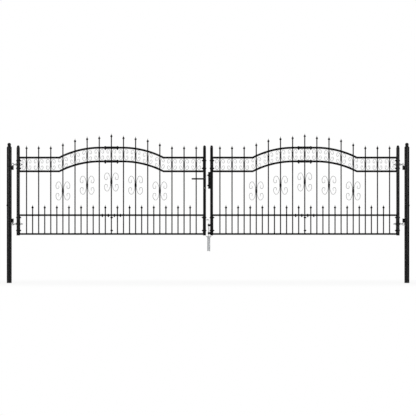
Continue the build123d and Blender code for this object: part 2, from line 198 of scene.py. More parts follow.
def bump(graph, height, strength, distance):
    """A Bump node, which feeds a shader's Normal."""
    inputs = {"Height": height, "Strength": strength, "Distance": distance}
    return graph.add("ShaderNodeBump", None, inputs)


print("finishes share noise, blended colours and bump")

# %% [markdown]
# ### Powder coat
# Nearly all of the gate is satin black: paint powder that melts in an oven and leaves a fine
# orange-peel skin. Two noises of different scale make the peel and a slow one changes tone and
# gloss. A little dust lies where a face looks up, which the normal's Z tells.

# %% Mix the powder coat


def powder_coat():
    """Satin black paint: orange peel, a faint change of tone and a little dust on upper faces."""
    material, graph, shader, place = finish("powder_coat")
    cloud = noise(graph, place, scale=9, detail=3)
    peel = noise(graph, place, scale=700, detail=1) + 0.45 * noise(graph, place, scale=1900, detail=0)
    normal = graph.add("ShaderNodeNewGeometry", output="Normal")
    upward = graph.add("ShaderNodeSeparateXYZ", None, {"Vector": normal}, "Z")
    clamped = {"operation": "SUBTRACT", "use_clamp": True}
    level = graph.add("ShaderNodeMath", clamped, {0: upward, 1: 0.6})
    dust = level * noise(graph, place, scale=140, detail=4)
    black = blend_colours(graph, cloud, (0.0045, 0.0045, 0.0048, 1), (0.0070, 0.0070, 0.0074, 1))
    looks = {
        "Base Color": blend_colours(graph, dust * 0.12, black, (0.16, 0.15, 0.14, 1)),
        "Roughness": 0.22 + 0.10 * cloud + 0.3 * dust,
        "Normal": bump(graph, peel, strength=0.22, distance=0.25 * mm),
        "Specular IOR Level": 0.14,
    }
    graph.feed(shader, looks)
    return material


powder = powder_coat()
print("finish", powder.name)

# %% [markdown]
# ### Zinc plate
# Eye bolts, forend, spindle and drop bolt are bright zinc plate. An even metal would look like
# chrome, so a slow noise clouds its tone and its gloss, and a fast one gives it a fine grain.

# %% Mix the zinc plate


def zinc_plate():
    """Bright zinc on fasteners, a little cloudy and finely grained."""
    material, graph, shader, place = finish("zinc_plate")
    cloud = noise(graph, place, scale=60, detail=3)
    grain = noise(graph, place, scale=1500, detail=2)
    looks = {
        "Base Color": blend_colours(graph, cloud, (0.50, 0.52, 0.55, 1), (0.66, 0.65, 0.62, 1)),
        "Metallic": 1.0,
        "Roughness": 0.24 + 0.2 * cloud + 0.06 * grain,
        "Normal": bump(graph, grain, strength=0.12, distance=0.1 * mm),
    }
    graph.feed(shader, looks)
    return material


zinc = zinc_plate()
print("finish", zinc.name)

# %% [markdown]
# ### Dipped zinc
# The ground socket was dipped in molten zinc, which freezes in flat grey crystals. Noise would only
# give soft clouds. The cells of a Voronoi texture have straight edges, and each has its own tone.

# %% Mix the dipped zinc


def dipped_zinc():
    """Galvanising: flat grey crystals of many tones, about a centimetre across."""
    material, graph, shader, place = finish("dipped_zinc")
    flakes = graph.add("ShaderNodeTexVoronoi", None, {"Vector": place, "Scale": 110.0}, "Color")
    tone = graph.add("ShaderNodeSeparateColor", None, {"Color": flakes}, "Red")
    frost = noise(graph, place, scale=420, detail=4)
    looks = {
        "Base Color": blend_colours(graph, tone, (0.35, 0.36, 0.37, 1), (0.58, 0.59, 0.60, 1)),
        "Metallic": 0.75,
        "Roughness": 0.40 + 0.16 * tone + 0.1 * frost,
        "Normal": bump(graph, frost, strength=0.15, distance=0.3 * mm),
    }
    graph.feed(shader, looks)
    return material


galvanised = dipped_zinc()
print("finish", galvanised.name)

# %% [markdown]
# ### Nickel
# The plugs of the key cylinder are satin nickel. Zinc plate could stand in for it, but nickel is
# warmer in tone and finer in grain, so it is a finish of its own.

# %% Mix the nickel


def nickel_plate():
    """Warm satin nickel on the plugs of the key cylinder."""
    material, graph, shader, place = finish("nickel_plate")
    grain = noise(graph, place, scale=1800, detail=2)
    cloud = noise(graph, place, scale=90, detail=2)
    looks = {
        "Base Color": blend_colours(graph, cloud, (0.52, 0.50, 0.46, 1), (0.62, 0.60, 0.55, 1)),
        "Metallic": 1.0,
        "Roughness": 0.22 + 0.16 * grain,
        "Normal": bump(graph, grain, strength=0.08, distance=0.1 * mm),
    }
    graph.feed(shader, looks)
    return material


nickel = nickel_plate()

# %% [markdown]
# ## Shapes in mesh code
# Tubes, caps, bosses and nuts are turned on a lathe in the workshop, so here a profile of radius
# and height is turned about Z. Flat pieces are blocks with bevelled edges, because no real edge is
# perfectly sharp and a thin bevel is what catches the light. `keep` turns a list of meshes into
# one piece of the gate, hangs it on the body that carries it and hides the CAD node it stands for.

# %% Skin rows of points


def mesh_from(build):
    """A mesh from a function that fills a bmesh. Doubles are merged and faces turned outwards."""
    shape = bmesh.new()
    build(shape)
    bmesh.ops.remove_doubles(shape, verts=shape.verts, dist=1e-6)
    bmesh.ops.recalc_face_normals(shape, faces=shape.faces)
    mesh = bpy.data.meshes.new("shape")
    shape.to_mesh(mesh)
    shape.free()
    return mesh


def skin(rows, ring=False):
    """Faces between rows of points. A ring closes on its first row, any other skin gets two ends."""

    def build(shape):
        loops = [[shape.verts.new(point) for point in row] for row in rows]
        pairs = list(zip(loops, loops[1:]))
        if ring:
            pairs.append((loops[-1], loops[0]))
        else:
            shape.faces.new(loops[0][::-1])
            shape.faces.new(loops[-1])
        for low, high in pairs:
            for index in range(len(low)):
                shape.faces.new((low[index - 1], low[index], high[index], high[index - 1]))

    return mesh_from(build)


print("skin closes rows of points into a mesh")

# %% Turn profiles and draw arcs


def round_row(radius_at, height, count):
    """Points round the Z axis, where a function of the angle in degrees gives the radius."""
    row = []
    for index in range(count):
        angle = 360 * index / count
        turn = math.radians(angle)
        row.append((radius_at(angle) * math.cos(turn), radius_at(angle) * math.sin(turn), height))
    return row


def turned(profile, segments, ring=False):
    """A profile of (radius, height) points turned about Z. A ring's profile closes on itself."""
    return skin([round_row(lambda angle: radius, height, segments) for radius, height in profile], ring)


def arc(centre, radius, start, end, count):
    """Points along an arc, by angles in degrees."""
    points = []
    for index in range(count + 1):
        angle = math.radians(start + (end - start) * index / count)
        points.append((centre[0] + radius * math.cos(angle), centre[1] + radius * math.sin(angle)))
    return points


print("profiles can be turned and arcs drawn")

# %% Make blocks and prisms


def block(size, centre=(0, 0, 0), bevel=0.8 * mm, segments=2):
    """A block with softened edges."""

    def build(shape):
        bmesh.ops.create_cube(shape, size=1)
        bmesh.ops.scale(shape, vec=size, verts=shape.verts)
        if bevel:
            edges = shape.edges[:]
            bmesh.ops.bevel(shape, geom=edges, offset=bevel, segments=segments, profile=0.5, affect="EDGES")
        bmesh.ops.translate(shape, vec=centre, verts=shape.verts)

    return mesh_from(build)


def prism(outline, height, bevel, segments=2):
    """A flat outline raised along Z from zero, with its two rims softened."""

    def build(shape):
        low = [shape.verts.new((x, y, 0)) for x, y in outline]
        high = [shape.verts.new((x, y, height)) for x, y in outline]
        bottom = shape.faces.new(low[::-1])
        top = shape.faces.new(high)
        for index in range(len(low)):
            shape.faces.new((low[index - 1], low[index], high[index], high[index - 1]))
        rims = list(top.edges) + list(bottom.edges)
        bmesh.ops.bevel(shape, geom=rims, offset=bevel, segments=segments, profile=0.5, affect="EDGES")

    return mesh_from(build)


print("blocks and prisms are ready")

# %% Move, join and carve meshes
upright = (0, 0, 0)
full_size = (1, 1, 1)


def moved(mesh, place=(0, 0, 0), turn=upright, scale=full_size):
    """A copy of a mesh, scaled, turned by degrees and put in its place."""
    angles = Euler([math.radians(angle) for angle in turn])
    copy = mesh.copy()
    copy.transform(Matrix.LocRotScale(Vector(place), angles, Vector(scale)))
    return copy


def joined(meshes):
    """Several meshes as one."""
    shape = bmesh.new()
    for mesh in meshes:
        shape.from_mesh(mesh)
    result = bpy.data.meshes.new("joined")
    shape.to_mesh(result)
    shape.free()
    return result


def carved(mesh, cutters):
    """A mesh with others taken out of it by a Boolean modifier."""
    made = []
    for shape in [mesh] + cutters:
        thing = bpy.data.objects.new("carving", shape)
        scene.collection.objects.link(thing)
        made.append(thing)
    for cutter in made[1:]:
        modifier = made[0].modifiers.new("cut", "BOOLEAN")
        modifier.object = cutter
        modifier.operation = "DIFFERENCE"
        modifier.solver = "EXACT"
    graph = bpy.context.evaluated_depsgraph_get()
    result = bpy.data.meshes.new_from_object(made[0].evaluated_get(graph))
    for thing in made:
        bpy.data.objects.remove(thing)
    return result


print("meshes can be moved, joined and carved")

# %% Keep a finished piece


def keep(name, body, meshes, material, stands_for=(), sharp=32):
    """One finished piece of the gate, riding on its body."""
    mesh = joined(meshes)
    mesh.name = name
    mesh.materials.clear()
    mesh.materials.append(material)
    for polygon in mesh.polygons:
        polygon.use_smooth = True
        polygon.material_index = 0
    mesh.set_sharp_from_angle(angle=math.radians(sharp))
    piece = bpy.data.objects.new(name, mesh)
    scene.collection.objects.link(piece)
    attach(piece, body)
    if stands_for:
        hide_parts(*stands_for)
    print(f"{name}: {len(mesh.polygons)} faces on {body}")


print("each piece will be told of here as it is kept")

# %% [markdown]
# ## Two geometry node trees
# A bent bar follows a path and a fastener repeats. Both could be modelled by hand, piece by piece,
# but a rule is shorter, so Geometry Nodes make them. The first tree lays a rounded bar along lines
# of points. The second stamps one pattern on every point, turned and scaled by what that point
# carries. Both end in plain geometry with its finish set.

# %% Open and close a geometry tree


def new_tree(name, inputs):
    """A geometry tree with named inputs. Gives the graph and a wire for each input."""
    tree = bpy.data.node_groups.new(name, "GeometryNodeTree")
    tree.interface.new_socket("Geometry", in_out="OUTPUT", socket_type="NodeSocketGeometry")
    for label, kind in inputs.items():
        tree.interface.new_socket(label, in_out="INPUT", socket_type=kind)
    graph = Graph(tree)
    return graph, {label: graph.add("NodeGroupInput", output=label) for label in inputs}


def close_tree(graph, geometry, material):
    """Realizes the instances, sets the finish and ends the tree."""
    real = graph.add("GeometryNodeRealizeInstances", None, {"Geometry": geometry})
    done = graph.add("GeometryNodeSetMaterial", None, {"Geometry": real, "Material": material})
    graph.add("NodeGroupOutput", None, {"Geometry": done})
    return graph.tree


print("a tree ends in Realize Instances and Set Material")

# %% Build the bar tree and the stamp tree
corner_steps = 3


def bar_tree():
    """A bar with rounded corners laid along each path. The attribute girth thins it."""
    inputs = {
        "Path": "NodeSocketGeometry",
        "Width": "NodeSocketFloat",
        "Depth": "NodeSocketFloat",
        "Corner": "NodeSocketFloat",
        "Across": "NodeSocketVector",
        "Finish": "NodeSocketMaterial",
    }
    graph, given = new_tree("bar_along_path", inputs)
    curve = graph.add("GeometryNodeMeshToCurve", None, {"Mesh": given["Path"]})
    across = {"Curve": curve, "Normal": given["Across"]}
    curve = graph.add("GeometryNodeSetCurveNormal", {"mode": "FREE"}, across)
    sides = {"Width": given["Depth"], "Height": given["Width"]}
    section = graph.add("GeometryNodeCurvePrimitiveQuadrilateral", None, sides)
    corner = {"Curve": section, "Count": corner_steps, "Radius": given["Corner"]}
    section = graph.add("GeometryNodeFilletCurve", {"mode": "POLY"}, corner)
    girth = graph.add("GeometryNodeInputNamedAttribute", {"data_type": "FLOAT"}, {"Name": "girth"})
    sweep = {"Curve": curve, "Profile Curve": section, "Scale": girth, "Fill Caps": True}
    return close_tree(graph, graph.add("GeometryNodeCurveToMesh", None, sweep), given["Finish"])


def stamp_tree():
    """One pattern on every point, turned by the attribute turn and scaled by the attribute size."""
    inputs = {
        "Points": "NodeSocketGeometry",
        "Pattern": "NodeSocketObject",
        "Finish": "NodeSocketMaterial",
    }
    graph, given = new_tree("stamp_on_points", inputs)
    pattern = graph.add("GeometryNodeObjectInfo", None, {"Object": given["Pattern"]}, "Geometry")
    vector = {"data_type": "FLOAT_VECTOR"}
    turn = graph.add("GeometryNodeInputNamedAttribute", vector, {"Name": "turn"})
    turn = graph.add("FunctionNodeEulerToRotation", None, {"Euler": turn})
    size = graph.add("GeometryNodeInputNamedAttribute", vector, {"Name": "size"})
    copies = {"Points": given["Points"], "Instance": pattern, "Rotation": turn, "Scale": size}
    return close_tree(graph, graph.add("GeometryNodeInstanceOnPoints", None, copies), given["Finish"])


bar_nodes = bar_tree()
stamp_nodes = stamp_tree()
print("trees", bar_nodes.name, stamp_nodes.name)

# %% Run a tree


def grow(tree, seed, settings):
    """Runs a tree on a seed mesh and keeps the result as a plain mesh."""
    thing = bpy.data.objects.new("seed", seed)
    scene.collection.objects.link(thing)
    modifier = thing.modifiers.new("grow", "NODES")
    modifier.node_group = tree
    for item in tree.interface.items_tree:
        if item.in_out == "INPUT" and item.name in settings:
            modifier[item.identifier] = settings[item.name]
    graph = bpy.context.evaluated_depsgraph_get()
    mesh = bpy.data.meshes.new_from_object(thing.evaluated_get(graph))
    bpy.data.objects.remove(thing)
    return mesh


print("grow runs", bar_nodes.name, "or", stamp_nodes.name, "and keeps a plain mesh")

# %% Lay bars and stamp patterns


def bars(paths, width, depth, corner, material, across=(0, 1, 0)):
    """Bars along paths. A path is a list of points, or of points with a girth."""
    verts, edges, girths = [], [], []
    for path in paths:
        start = len(verts)
        for point in path:
            verts.append(point[:3])
            girths.append(point[3] if len(point) > 3 else 1.0)
        edges += [(index, index + 1) for index in range(start, len(verts) - 1)]
    seed = bpy.data.meshes.new("paths")
    seed.from_pydata(verts, edges, [])
    seed.attributes.new("girth", "FLOAT", "POINT").data.foreach_set("value", girths)
    settings = {"Width": width, "Depth": depth, "Corner": corner, "Across": across, "Finish": material}
    mesh = grow(bar_nodes, seed, settings)
    return mesh_from(lambda shape: shape.from_mesh(mesh))


def stamps(pattern, spots, material):
    """Copies of a pattern. A spot is a place, a turn in degrees and a scale."""
    model = bpy.data.objects.new("pattern", pattern)
    scene.collection.objects.link(model)
    seed = bpy.data.meshes.new("spots")
    seed.from_pydata([spot[0] for spot in spots], [], [])
    turns = [math.radians(angle) for spot in spots for angle in spot[1]]
    sizes = [size for spot in spots for size in spot[2]]
    seed.attributes.new("turn", "FLOAT_VECTOR", "POINT").data.foreach_set("vector", turns)
    seed.attributes.new("size", "FLOAT_VECTOR", "POINT").data.foreach_set("vector", sizes)
    mesh = grow(stamp_nodes, seed, {"Pattern": model, "Finish": material})
    bpy.data.objects.remove(model)
    return mesh


print("bars follow paths, stamps stand on spots")

# %% [markdown]
# ## Posts
# Each post is a 50 mm round tube, cut square at the foot. A plain cylinder would be closed and have no
# wall, so the tube is a profile turned as a ring: its wall shows at the foot, and its cut edges are
# softened, as a deburred tube's are.

# %% Turn the posts
tube_wall = 2 * mm


def round_tube(radius, wall, bottom, top):
    """An open tube with softened rims."""
    soft = 0.5 * mm
    inner = radius - wall
    profile = [
        (inner, bottom + soft),
        (inner + soft, bottom),
        (radius - soft, bottom),
        (radius, bottom + soft),
        (radius, top - soft),
        (radius - soft, top),
        (inner + soft, top),
        (inner, top - soft),
    ]
    return turned(profile, segments=64, ring=True)


for side, x in zip(("left", "right"), post_places):
    tube = moved(round_tube(post_radius, tube_wall, 0, post_top), (x, 0, 0))
    keep(side + "_round_post", "posts", [tube], powder, [side + "_post"])

# %% [markdown]
# ### Ball caps
# A cap is cast in one piece: a plug in the tube, a lip on its rim, a sloping shoulder and a ball. A
# sphere on a cone would show a seam at the neck, so the whole cap is one turned profile.

# %% Turn the ball caps
cap_ball_radius = 18.5 * mm
cap_ball_z = 27 * mm
cap_neck_radius = 14.6 * mm
cap_neck_z = 16 * mm
cap_lip = 2.4 * mm
cap_plug_depth = 12 * mm
cap_plug_gap = 0.3 * mm


def shoulder():
    """The sweep from the lip in to the neck, as (radius, height) points."""
    steps = 8
    start = post_radius - 0.9 * mm
    points = []
    for step in range(1, steps + 1):
        share = step / steps
        radius = start + (cap_neck_radius - start) * share**0.86
        points.append((radius, cap_lip + (cap_neck_z - cap_lip) * share**1.25))
    return points


def ball_cap():
    """The cap of a post: a plug in the tube, a lip, a shoulder and a ball."""
    lower_in, lower_up, upper_edge = 0.4 * mm, 0.5 * mm, 0.6 * mm
    plug_radius = post_radius - tube_wall - cap_plug_gap
    profile = [(0, -cap_plug_depth), (plug_radius, -cap_plug_depth), (plug_radius, 0)]
    profile += [(post_radius - lower_in, 0), (post_radius, lower_up)]
    profile += [(post_radius, cap_lip - upper_edge), (post_radius - upper_edge, cap_lip)]
    profile += shoulder()
    start = -math.degrees(math.acos(cap_neck_radius / cap_ball_radius))
    profile += arc((0, cap_ball_z), cap_ball_radius, start, 90, count=18)
    return turned(profile, segments=56)


caps = [moved(ball_cap(), (x, 0, post_top)) for x in post_places]
keep("ball_caps", "posts", caps, powder, ["post_caps"])

# %% [markdown]
# ## Hinges
# Two pintles are welded to each post. The upper pin points up and carries the leaf, the lower one
# points down, so that nobody can lift the gate off. Pin and boss could be two cylinders, but one
# turned profile leaves no seam. The weld is a bar along a wavy line, because no bead is quite even.

# %% Weld the pintles on the posts
pin_radius = 5 * mm
pin_length = 28 * mm
boss_radius = 7.5 * mm
boss_height = 42 * mm
web_thickness = 8 * mm
pintle_low, pintle_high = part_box("left_pintles")
pin_offset = pintle_high.x - boss_radius


def weld_seam(x, y):
    """A wavy bead up the side of a pintle's web, thinner at both ends."""
    steps, margin = 12, 1.5 * mm
    seam = []
    for index in range(steps + 1):
        wobble = 0.25 * mm * math.sin(index * 2.1)
        height = -boss_height + margin + (boss_height - 2 * margin) * index / steps
        girth = 0.55 if index in (0, steps) else 1.0
        seam.append((x + wobble, y, height, girth))
    return bars([seam], width=4 * mm, depth=4 * mm, corner=1.9 * mm, material=powder)


def pintle(inward):
    """A pin on a boss, with its web and the welds along the post. It points up from zero."""
    soft = 0.8 * mm
    point_height, point_taper = 2 * mm, 1.4 * mm
    profile = [
        (0, -boss_height),
        (boss_radius - soft, -boss_height),
        (boss_radius, -boss_height + soft),
        (boss_radius, -soft),
        (boss_radius - soft, 0),
        (pin_radius, 0),
        (pin_radius, pin_length - point_height),
        (pin_radius - point_taper, pin_length),
        (0, pin_length),
    ]
    reach, sunk, shorter = pin_offset - post_radius, 3 * mm, 2 * mm
    web_size = (reach + sunk, web_thickness, boss_height - shorter)
    web = block(web_size, (-inward * reach / 2, 0, -boss_height / 2))
    edge = -inward * (pin_offset - math.sqrt(post_radius**2 - (web_thickness / 2) ** 2))
    seams = [weld_seam(edge, y) for y in (-web_thickness / 2, web_thickness / 2)]
    return joined([turned(profile, segments=40), web] + seams)


for side, x, inward in (("left", post_places[0], 1), ("right", post_places[1], -1)):
    pin_x = x + inward * pin_offset
    upper = moved(pintle(inward), (pin_x, 0, pintle_high.z - pin_length))
    lower = moved(pintle(-inward), (pin_x, 0, pintle_low.z + pin_length), (0, 180, 0))
    keep(side + "_pintle_pair", "posts", [upper, lower], powder, [side + "_pintles"])

# %% [markdown]
# ### Eye bolts
# An eye bolt on the leaf turns on each pin and runs through the stile, with a nut on either side to
# set the gap. A true helix would need many faces, so the thread is a turned zigzag: at this size
# nobody can tell. A nut is a hexagon whose corners are cut by a cone, as turning leaves them.

# %% Make nuts, washers and threaded rods
thread_pitch = 1.75 * mm
thread_depth = 0.95 * mm
nut_sides = 24
nut_rim_share = 1.01
nut_cone = 1.34
# Where a nut's rows of points lie, as shares of its height
nut_row_shares = (0, 0.04, 0.08, 0.12, 0.88, 0.92, 0.96, 1)


def hex_radius(width, angle):
    """How far the edge of a hexagon is from its middle, at an angle from a corner."""
    return width / 2 / math.cos(math.radians(angle % 60 - 30))


def hex_nut(width, height):
    """A nut standing on zero, its corners chamfered by the cone that turning leaves."""
    rim = width / 2 * nut_rim_share
    rows = []
    for share in nut_row_shares:
        cone = rim * (1 + nut_cone * min(share, 1 - share))

        def cut_corner(angle):
            return min(cone, hex_radius(width, angle))

        rows.append(round_row(cut_corner, share * height, nut_sides))
    return skin(rows)


def washer(radius, height):
    """A flat washer standing on zero."""
    soft = 0.25 * mm
    edge = [(radius - soft, 0), (radius, soft), (radius, height - soft), (radius - soft, height)]
    return turned([(0, 0)] + edge + [(0, height)], segments=36)


def threaded(radius, start, end):
    """A threaded rod along Z, with a chamfered end."""
    core = radius - thread_depth
    plain, point_height, point_taper = 2 * mm, 1.6 * mm, 2 * mm
    profile = [(0, start), (core, start)]
    for index in range(int((end - start - plain) / thread_pitch)):
        base = start + index * thread_pitch
        profile += [(core, base + 0.1 * thread_pitch), (radius, base + 0.5 * thread_pitch)]
    profile += [(core, end - point_height), (radius - point_taper, end), (0, end)]
    return turned(profile, segments=24)


print("nuts, washers and threads are ready")

# %% Turn the eyes
eye_radius = 10 * mm
eye_height = 23 * mm
pin_clearance = 0.3 * mm
lower_eye_gap = 2 * mm
upper_eye_z = pintle_high.z - pin_length + pin_clearance + eye_height / 2
lower_eye_z = pintle_low.z + pin_length - lower_eye_gap - eye_height / 2


def eye():
    """The ring that turns on a pin, with zero at half its height."""
    hole = pin_radius + pin_clearance
    soft, fine = 0.9 * mm, 0.4 * mm
    half = eye_height / 2
    profile = [
        (hole, -half + fine),
        (hole + fine, -half),
        (eye_radius - soft, -half),
        (eye_radius, -half + soft),
        (eye_radius, half - soft),
        (eye_radius - soft, half),
        (hole + fine, half),
        (hole, half - fine),
    ]
    return turned(profile, segments=48, ring=True)


print("eyes at", round(lower_eye_z / mm), "and", round(upper_eye_z / mm), "mm")

# %% Hang the eye bolts on the pins
shank_radius = 6 * mm
shank_sunk = 2.5 * mm
nut_width = 19 * mm
nut_height = 9 * mm
washer_radius = 12 * mm
washer_height = 1.6 * mm
stile_flat = 3 * mm


def eye_bolt(leaf, z):
    """The eye on its pin, the shank through the stile, and what clamps it there."""
    way = leaf.toward
    pin_x = post_places[0] + pin_offset if way > 0 else post_places[1] - pin_offset
    low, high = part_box(leaf.side + "_eye_bolts")
    tail = max(abs(low.x - pin_x), abs(high.x - pin_x))
    along = (0, 90 * way, 0)
    near_face = abs(leaf.hinge.x - pin_x) - hinge_stile_radius
    far_face = abs(leaf.hinge.x - pin_x) + hinge_stile_radius + stile_flat
    nut = hex_nut(nut_width, nut_height)
    flat_ring = washer(washer_radius, washer_height)
    on_shank = (
        (nut, near_face - nut_height - washer_height),
        (flat_ring, near_face - washer_height),
        (flat_ring, far_face),
        (nut, far_face + washer_height),
    )
    meshes = [eye(), moved(threaded(shank_radius, eye_radius - shank_sunk, tail), turn=along)]
    meshes += [moved(part, (way * start, 0, 0), along) for part, start in on_shank]
    return [moved(mesh, (pin_x, 0, z)) for mesh in meshes]


for leaf in leaves:
    meshes = eye_bolt(leaf, upper_eye_z) + eye_bolt(leaf, lower_eye_z)
    keep(leaf.side + "_hinge_eyes", leaf.body, meshes, zinc, [leaf.side + "_eye_bolts"])

# %% [markdown]
# ## Stiles
# The hinge stile is a round tube and the meeting stile a square one with rolled corners. A bevelled
# block would soften its ends as much as its corners, so the square tube is a bar along a straight
# path, with the corner radius that cold-formed tube has. A Boolean modifier carves it hollow.

# %% Draw the square tube
corner_radius = 2.6 * mm
spindle_bore = 6.4 * mm


def bore(radius, place, turn=upright):
    """A long round cutter through a place."""
    half = 100 * mm
    profile = [(0, -half), (radius, -half), (radius, half), (0, half)]
    return moved(turned(profile, segments=40), place, turn)


def square_tube(leaf):
    """A square tube, open at its ends. The left one is bored for the lock's spindle."""
    x, height = leaf.meeting.x, leaf.top - leaf.bottom
    path = [(x, 0, leaf.bottom), (x, 0, leaf.top)]
    outside = bars([path], meeting_stile_width, meeting_stile_width, corner_radius, powder)
    inside = meeting_stile_width - 2 * tube_wall
    past_both_ends = 2.2 * height
    cuts = [block((inside, inside, past_both_ends), (x, 0, leaf.bottom), bevel=0)]
    if leaf.side == "left":
        cuts.append(bore(spindle_bore, middle("lever_spindle"), (90, 0, 0)))
    return carved(outside, cuts)


print("stile corners of", round(corner_radius / mm, 1), "mm")

# %% [markdown]
# ### Stile caps
# A moulded cap closes each stile: a thin rim, round or square, with a small dome on it. Half a ball
# on the rim would meet it at a hard line, so the dome is a profile that flares into a foot ring.

# %% Turn the domed caps
dome_radius = 13.5 * mm
dome_height = 22 * mm
cap_rim = 3 * mm


def dome(base):
    """A drum under half a ball, on a thin foot ring."""
    foot_reach, foot_height, neck_reach, neck_height = 0.8 * mm, 0.9 * mm, 0.2 * mm, 1.8 * mm
    profile = [(0, base), (dome_radius + foot_reach, base)]
    profile += [(dome_radius + neck_reach, base + foot_height), (dome_radius, base + neck_height)]
    profile += arc((0, base + dome_height - dome_radius), dome_radius, 0, 90, count=12)
    return turned(profile, segments=40)


def stile_cap_pair(leaf):
    """The caps of both stiles of a leaf."""
    soft = 0.7 * mm
    rim = [(0, 0), (hinge_stile_radius, 0), (hinge_stile_radius, cap_rim - soft)]
    rim += [(hinge_stile_radius - soft, cap_rim), (0, cap_rim)]
    round_rim = turned(rim, segments=48)
    square = (meeting_stile_width, meeting_stile_width, cap_rim)
    square_rim = block(square, (0, 0, cap_rim / 2), bevel=soft)
    knob = dome(cap_rim)
    meshes = [moved(part, (leaf.hinge.x, 0, leaf.top)) for part in (round_rim, knob)]
    meshes += [moved(part, (leaf.meeting.x, 0, leaf.top)) for part in (square_rim, knob)]
    return meshes


print("domes", round(dome_height / mm), "mm tall")

# %% Stand the stiles and cap them
for leaf in leaves:
    tube = round_tube(hinge_stile_radius, tube_wall, leaf.bottom, leaf.top)
    tube = moved(tube, (leaf.hinge.x, 0, 0))
    box = square_tube(leaf)
    keep(leaf.side + "_round_stile", leaf.body, [tube], powder, [leaf.side + "_hinge_stile"])
    keep(leaf.side + "_square_stile", leaf.body, [box], powder, [leaf.side + "_meeting_stile"])
    keep(leaf.side + "_dome_caps", leaf.body, stile_cap_pair(leaf), powder, [leaf.side + "_stile_caps"])

# %% [markdown]
# ## Half panels
# A leaf comes flat-packed as two halves that bolt together under the middle picket. Each half has
# two straight rails, two arched ones, tall and short pickets and thin end flats for the bolts. The
# rails are bars along paths; the arch is a line of points on a circle. The pickets pass through the
# rails, with a small weld bead round each one. An Array modifier would space them evenly, but not
# at the arch's changing heights, so both are stamped on points.

# %% Name the sizes of the rails
upper_rail = 20 * mm
lower_rail = 18 * mm
lower_bay = 190 * mm
middle_bay = 442 * mm
frieze_bay = 138 * mm
bottom_rail_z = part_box("left_hinge_panel")[0].z + lower_rail / 2
mid_rail_z = bottom_rail_z + lower_bay
second_rail_z = mid_rail_z + middle_bay
top_rail_z = second_rail_z + frieze_bay
rail_heights = (bottom_rail_z, mid_rail_z, second_rail_z, top_rail_z)
print("rails at", [round(z / mm) for z in rail_heights], "mm")

# %% Name the sizes of the arch
arch_half_span = 525 * mm
arch_flat_half = 111 * mm
arch_rise = 100 * mm
arch_run = arch_half_span - arch_flat_half
arch_radius = (arch_run**2 + arch_rise**2) / (2 * arch_rise)


def rail_rise(run):
    """How far an arched rail has risen at a distance from the leaf's middle."""
    past = abs(run) - arch_flat_half
    if past <= 0:
        return arch_rise
    if past >= arch_run:
        return 0.0
    return arch_rise - arch_radius + math.sqrt(arch_radius**2 - past**2)


print("arch radius", round(arch_radius / mm), "mm")

# %% Name the sizes of the pickets
picket_width = 12 * mm
picket_steps = 7
end_bay = 84.1 * mm
picket_pitch = (abs(left_leaf.meeting.x - left_leaf.hinge.x) / 2 - end_bay) / picket_steps
tall_rise = 84 * mm
tall_rise_shares = (1.25, 1.01, 1.01, 1.09, 1.15, 1.0, 1.0, 1.0)
short_rise = 66 * mm
short_top_z = mid_rail_z + short_rise


def tall_top(step):
    """The height at which a tall picket ends and its spear tip starts."""
    step = abs(step)
    return top_rail_z + rail_rise(step * picket_pitch) + tall_rise_shares[step] * tall_rise


print("picket pitch", round(picket_pitch / mm, 2), "mm")

# %% Draw the lines of the rails
rail_corner = 1.8 * mm
crown_gap = 0.4 * mm
arch_steps = 20


def arched_path(leaf, way, end, z):
    """The middle line of an arched rail, from the crown out to the stile."""
    runs = [picket_width / 2 + crown_gap, arch_flat_half * 0.6]
    runs += [arch_flat_half + arch_run * index / arch_steps for index in range(arch_steps + 1)]
    runs.append(end)
    return [(leaf.x + way * run, 0, z + rail_rise(run)) for run in runs]


def straight_path(leaf, way, end, z):
    """The middle line of a level rail."""
    return [(leaf.x, 0, z), (leaf.x + way * end, 0, z)]


print("each arch is drawn in", arch_steps, "steps a side")

# %% Stand the pickets


def picket_pattern():
    """A round bar one metre long, standing on zero."""
    radius = picket_width / 2
    return turned([(0, 0), (radius, 0), (radius, 1), (0, 1)], segments=16)


def picket_spots(leaf, way):
    """Where the pickets of a half stand, and how tall they are."""
    spots = []
    for step in range(1, picket_steps + 1):
        tall_x = leaf.x + way * step * picket_pitch
        short_x = tall_x - way * picket_pitch / 2
        spots.append(((tall_x, 0, bottom_rail_z), upright, (1, 1, tall_top(step) - bottom_rail_z)))
        spots.append(((short_x, 0, bottom_rail_z), upright, (1, 1, short_top_z - bottom_rail_z)))
    return spots


print("a half has", len(picket_spots(left_leaf, 1)), "pickets")

# %% [markdown]
# ### Weld beads
# Each picket is welded where it passes a rail. A plain torus would look machined, so a bead is a low
# ring with a wavy skirt, and the copies on the straight rails are each turned by another angle.

# %% Lay the weld beads
bead_twist = 47
bead_sides = 14
# Reach past the picket and height, at the corners of a bead's section
bead_section = (
    (-0.4 * mm, 1.5 * mm),
    (0.35 * mm, 1.25 * mm),
    (1.1 * mm, 0.55 * mm),
    (1.7 * mm, 0.0),
)


def bead_pattern():
    """A weld bead: a low ring with a rough, wavy skirt, lying on zero."""
    rows = []
    for reach, height in bead_section:

        def wavy(angle):
            turn = math.radians(angle)
            wave = 1 + 0.18 * math.sin(3 * turn + 1) + 0.1 * math.sin(7 * turn)
            return picket_width / 2 + reach * wave

        rows.append(round_row(wavy, height, bead_sides))
    return skin(rows, ring=True)


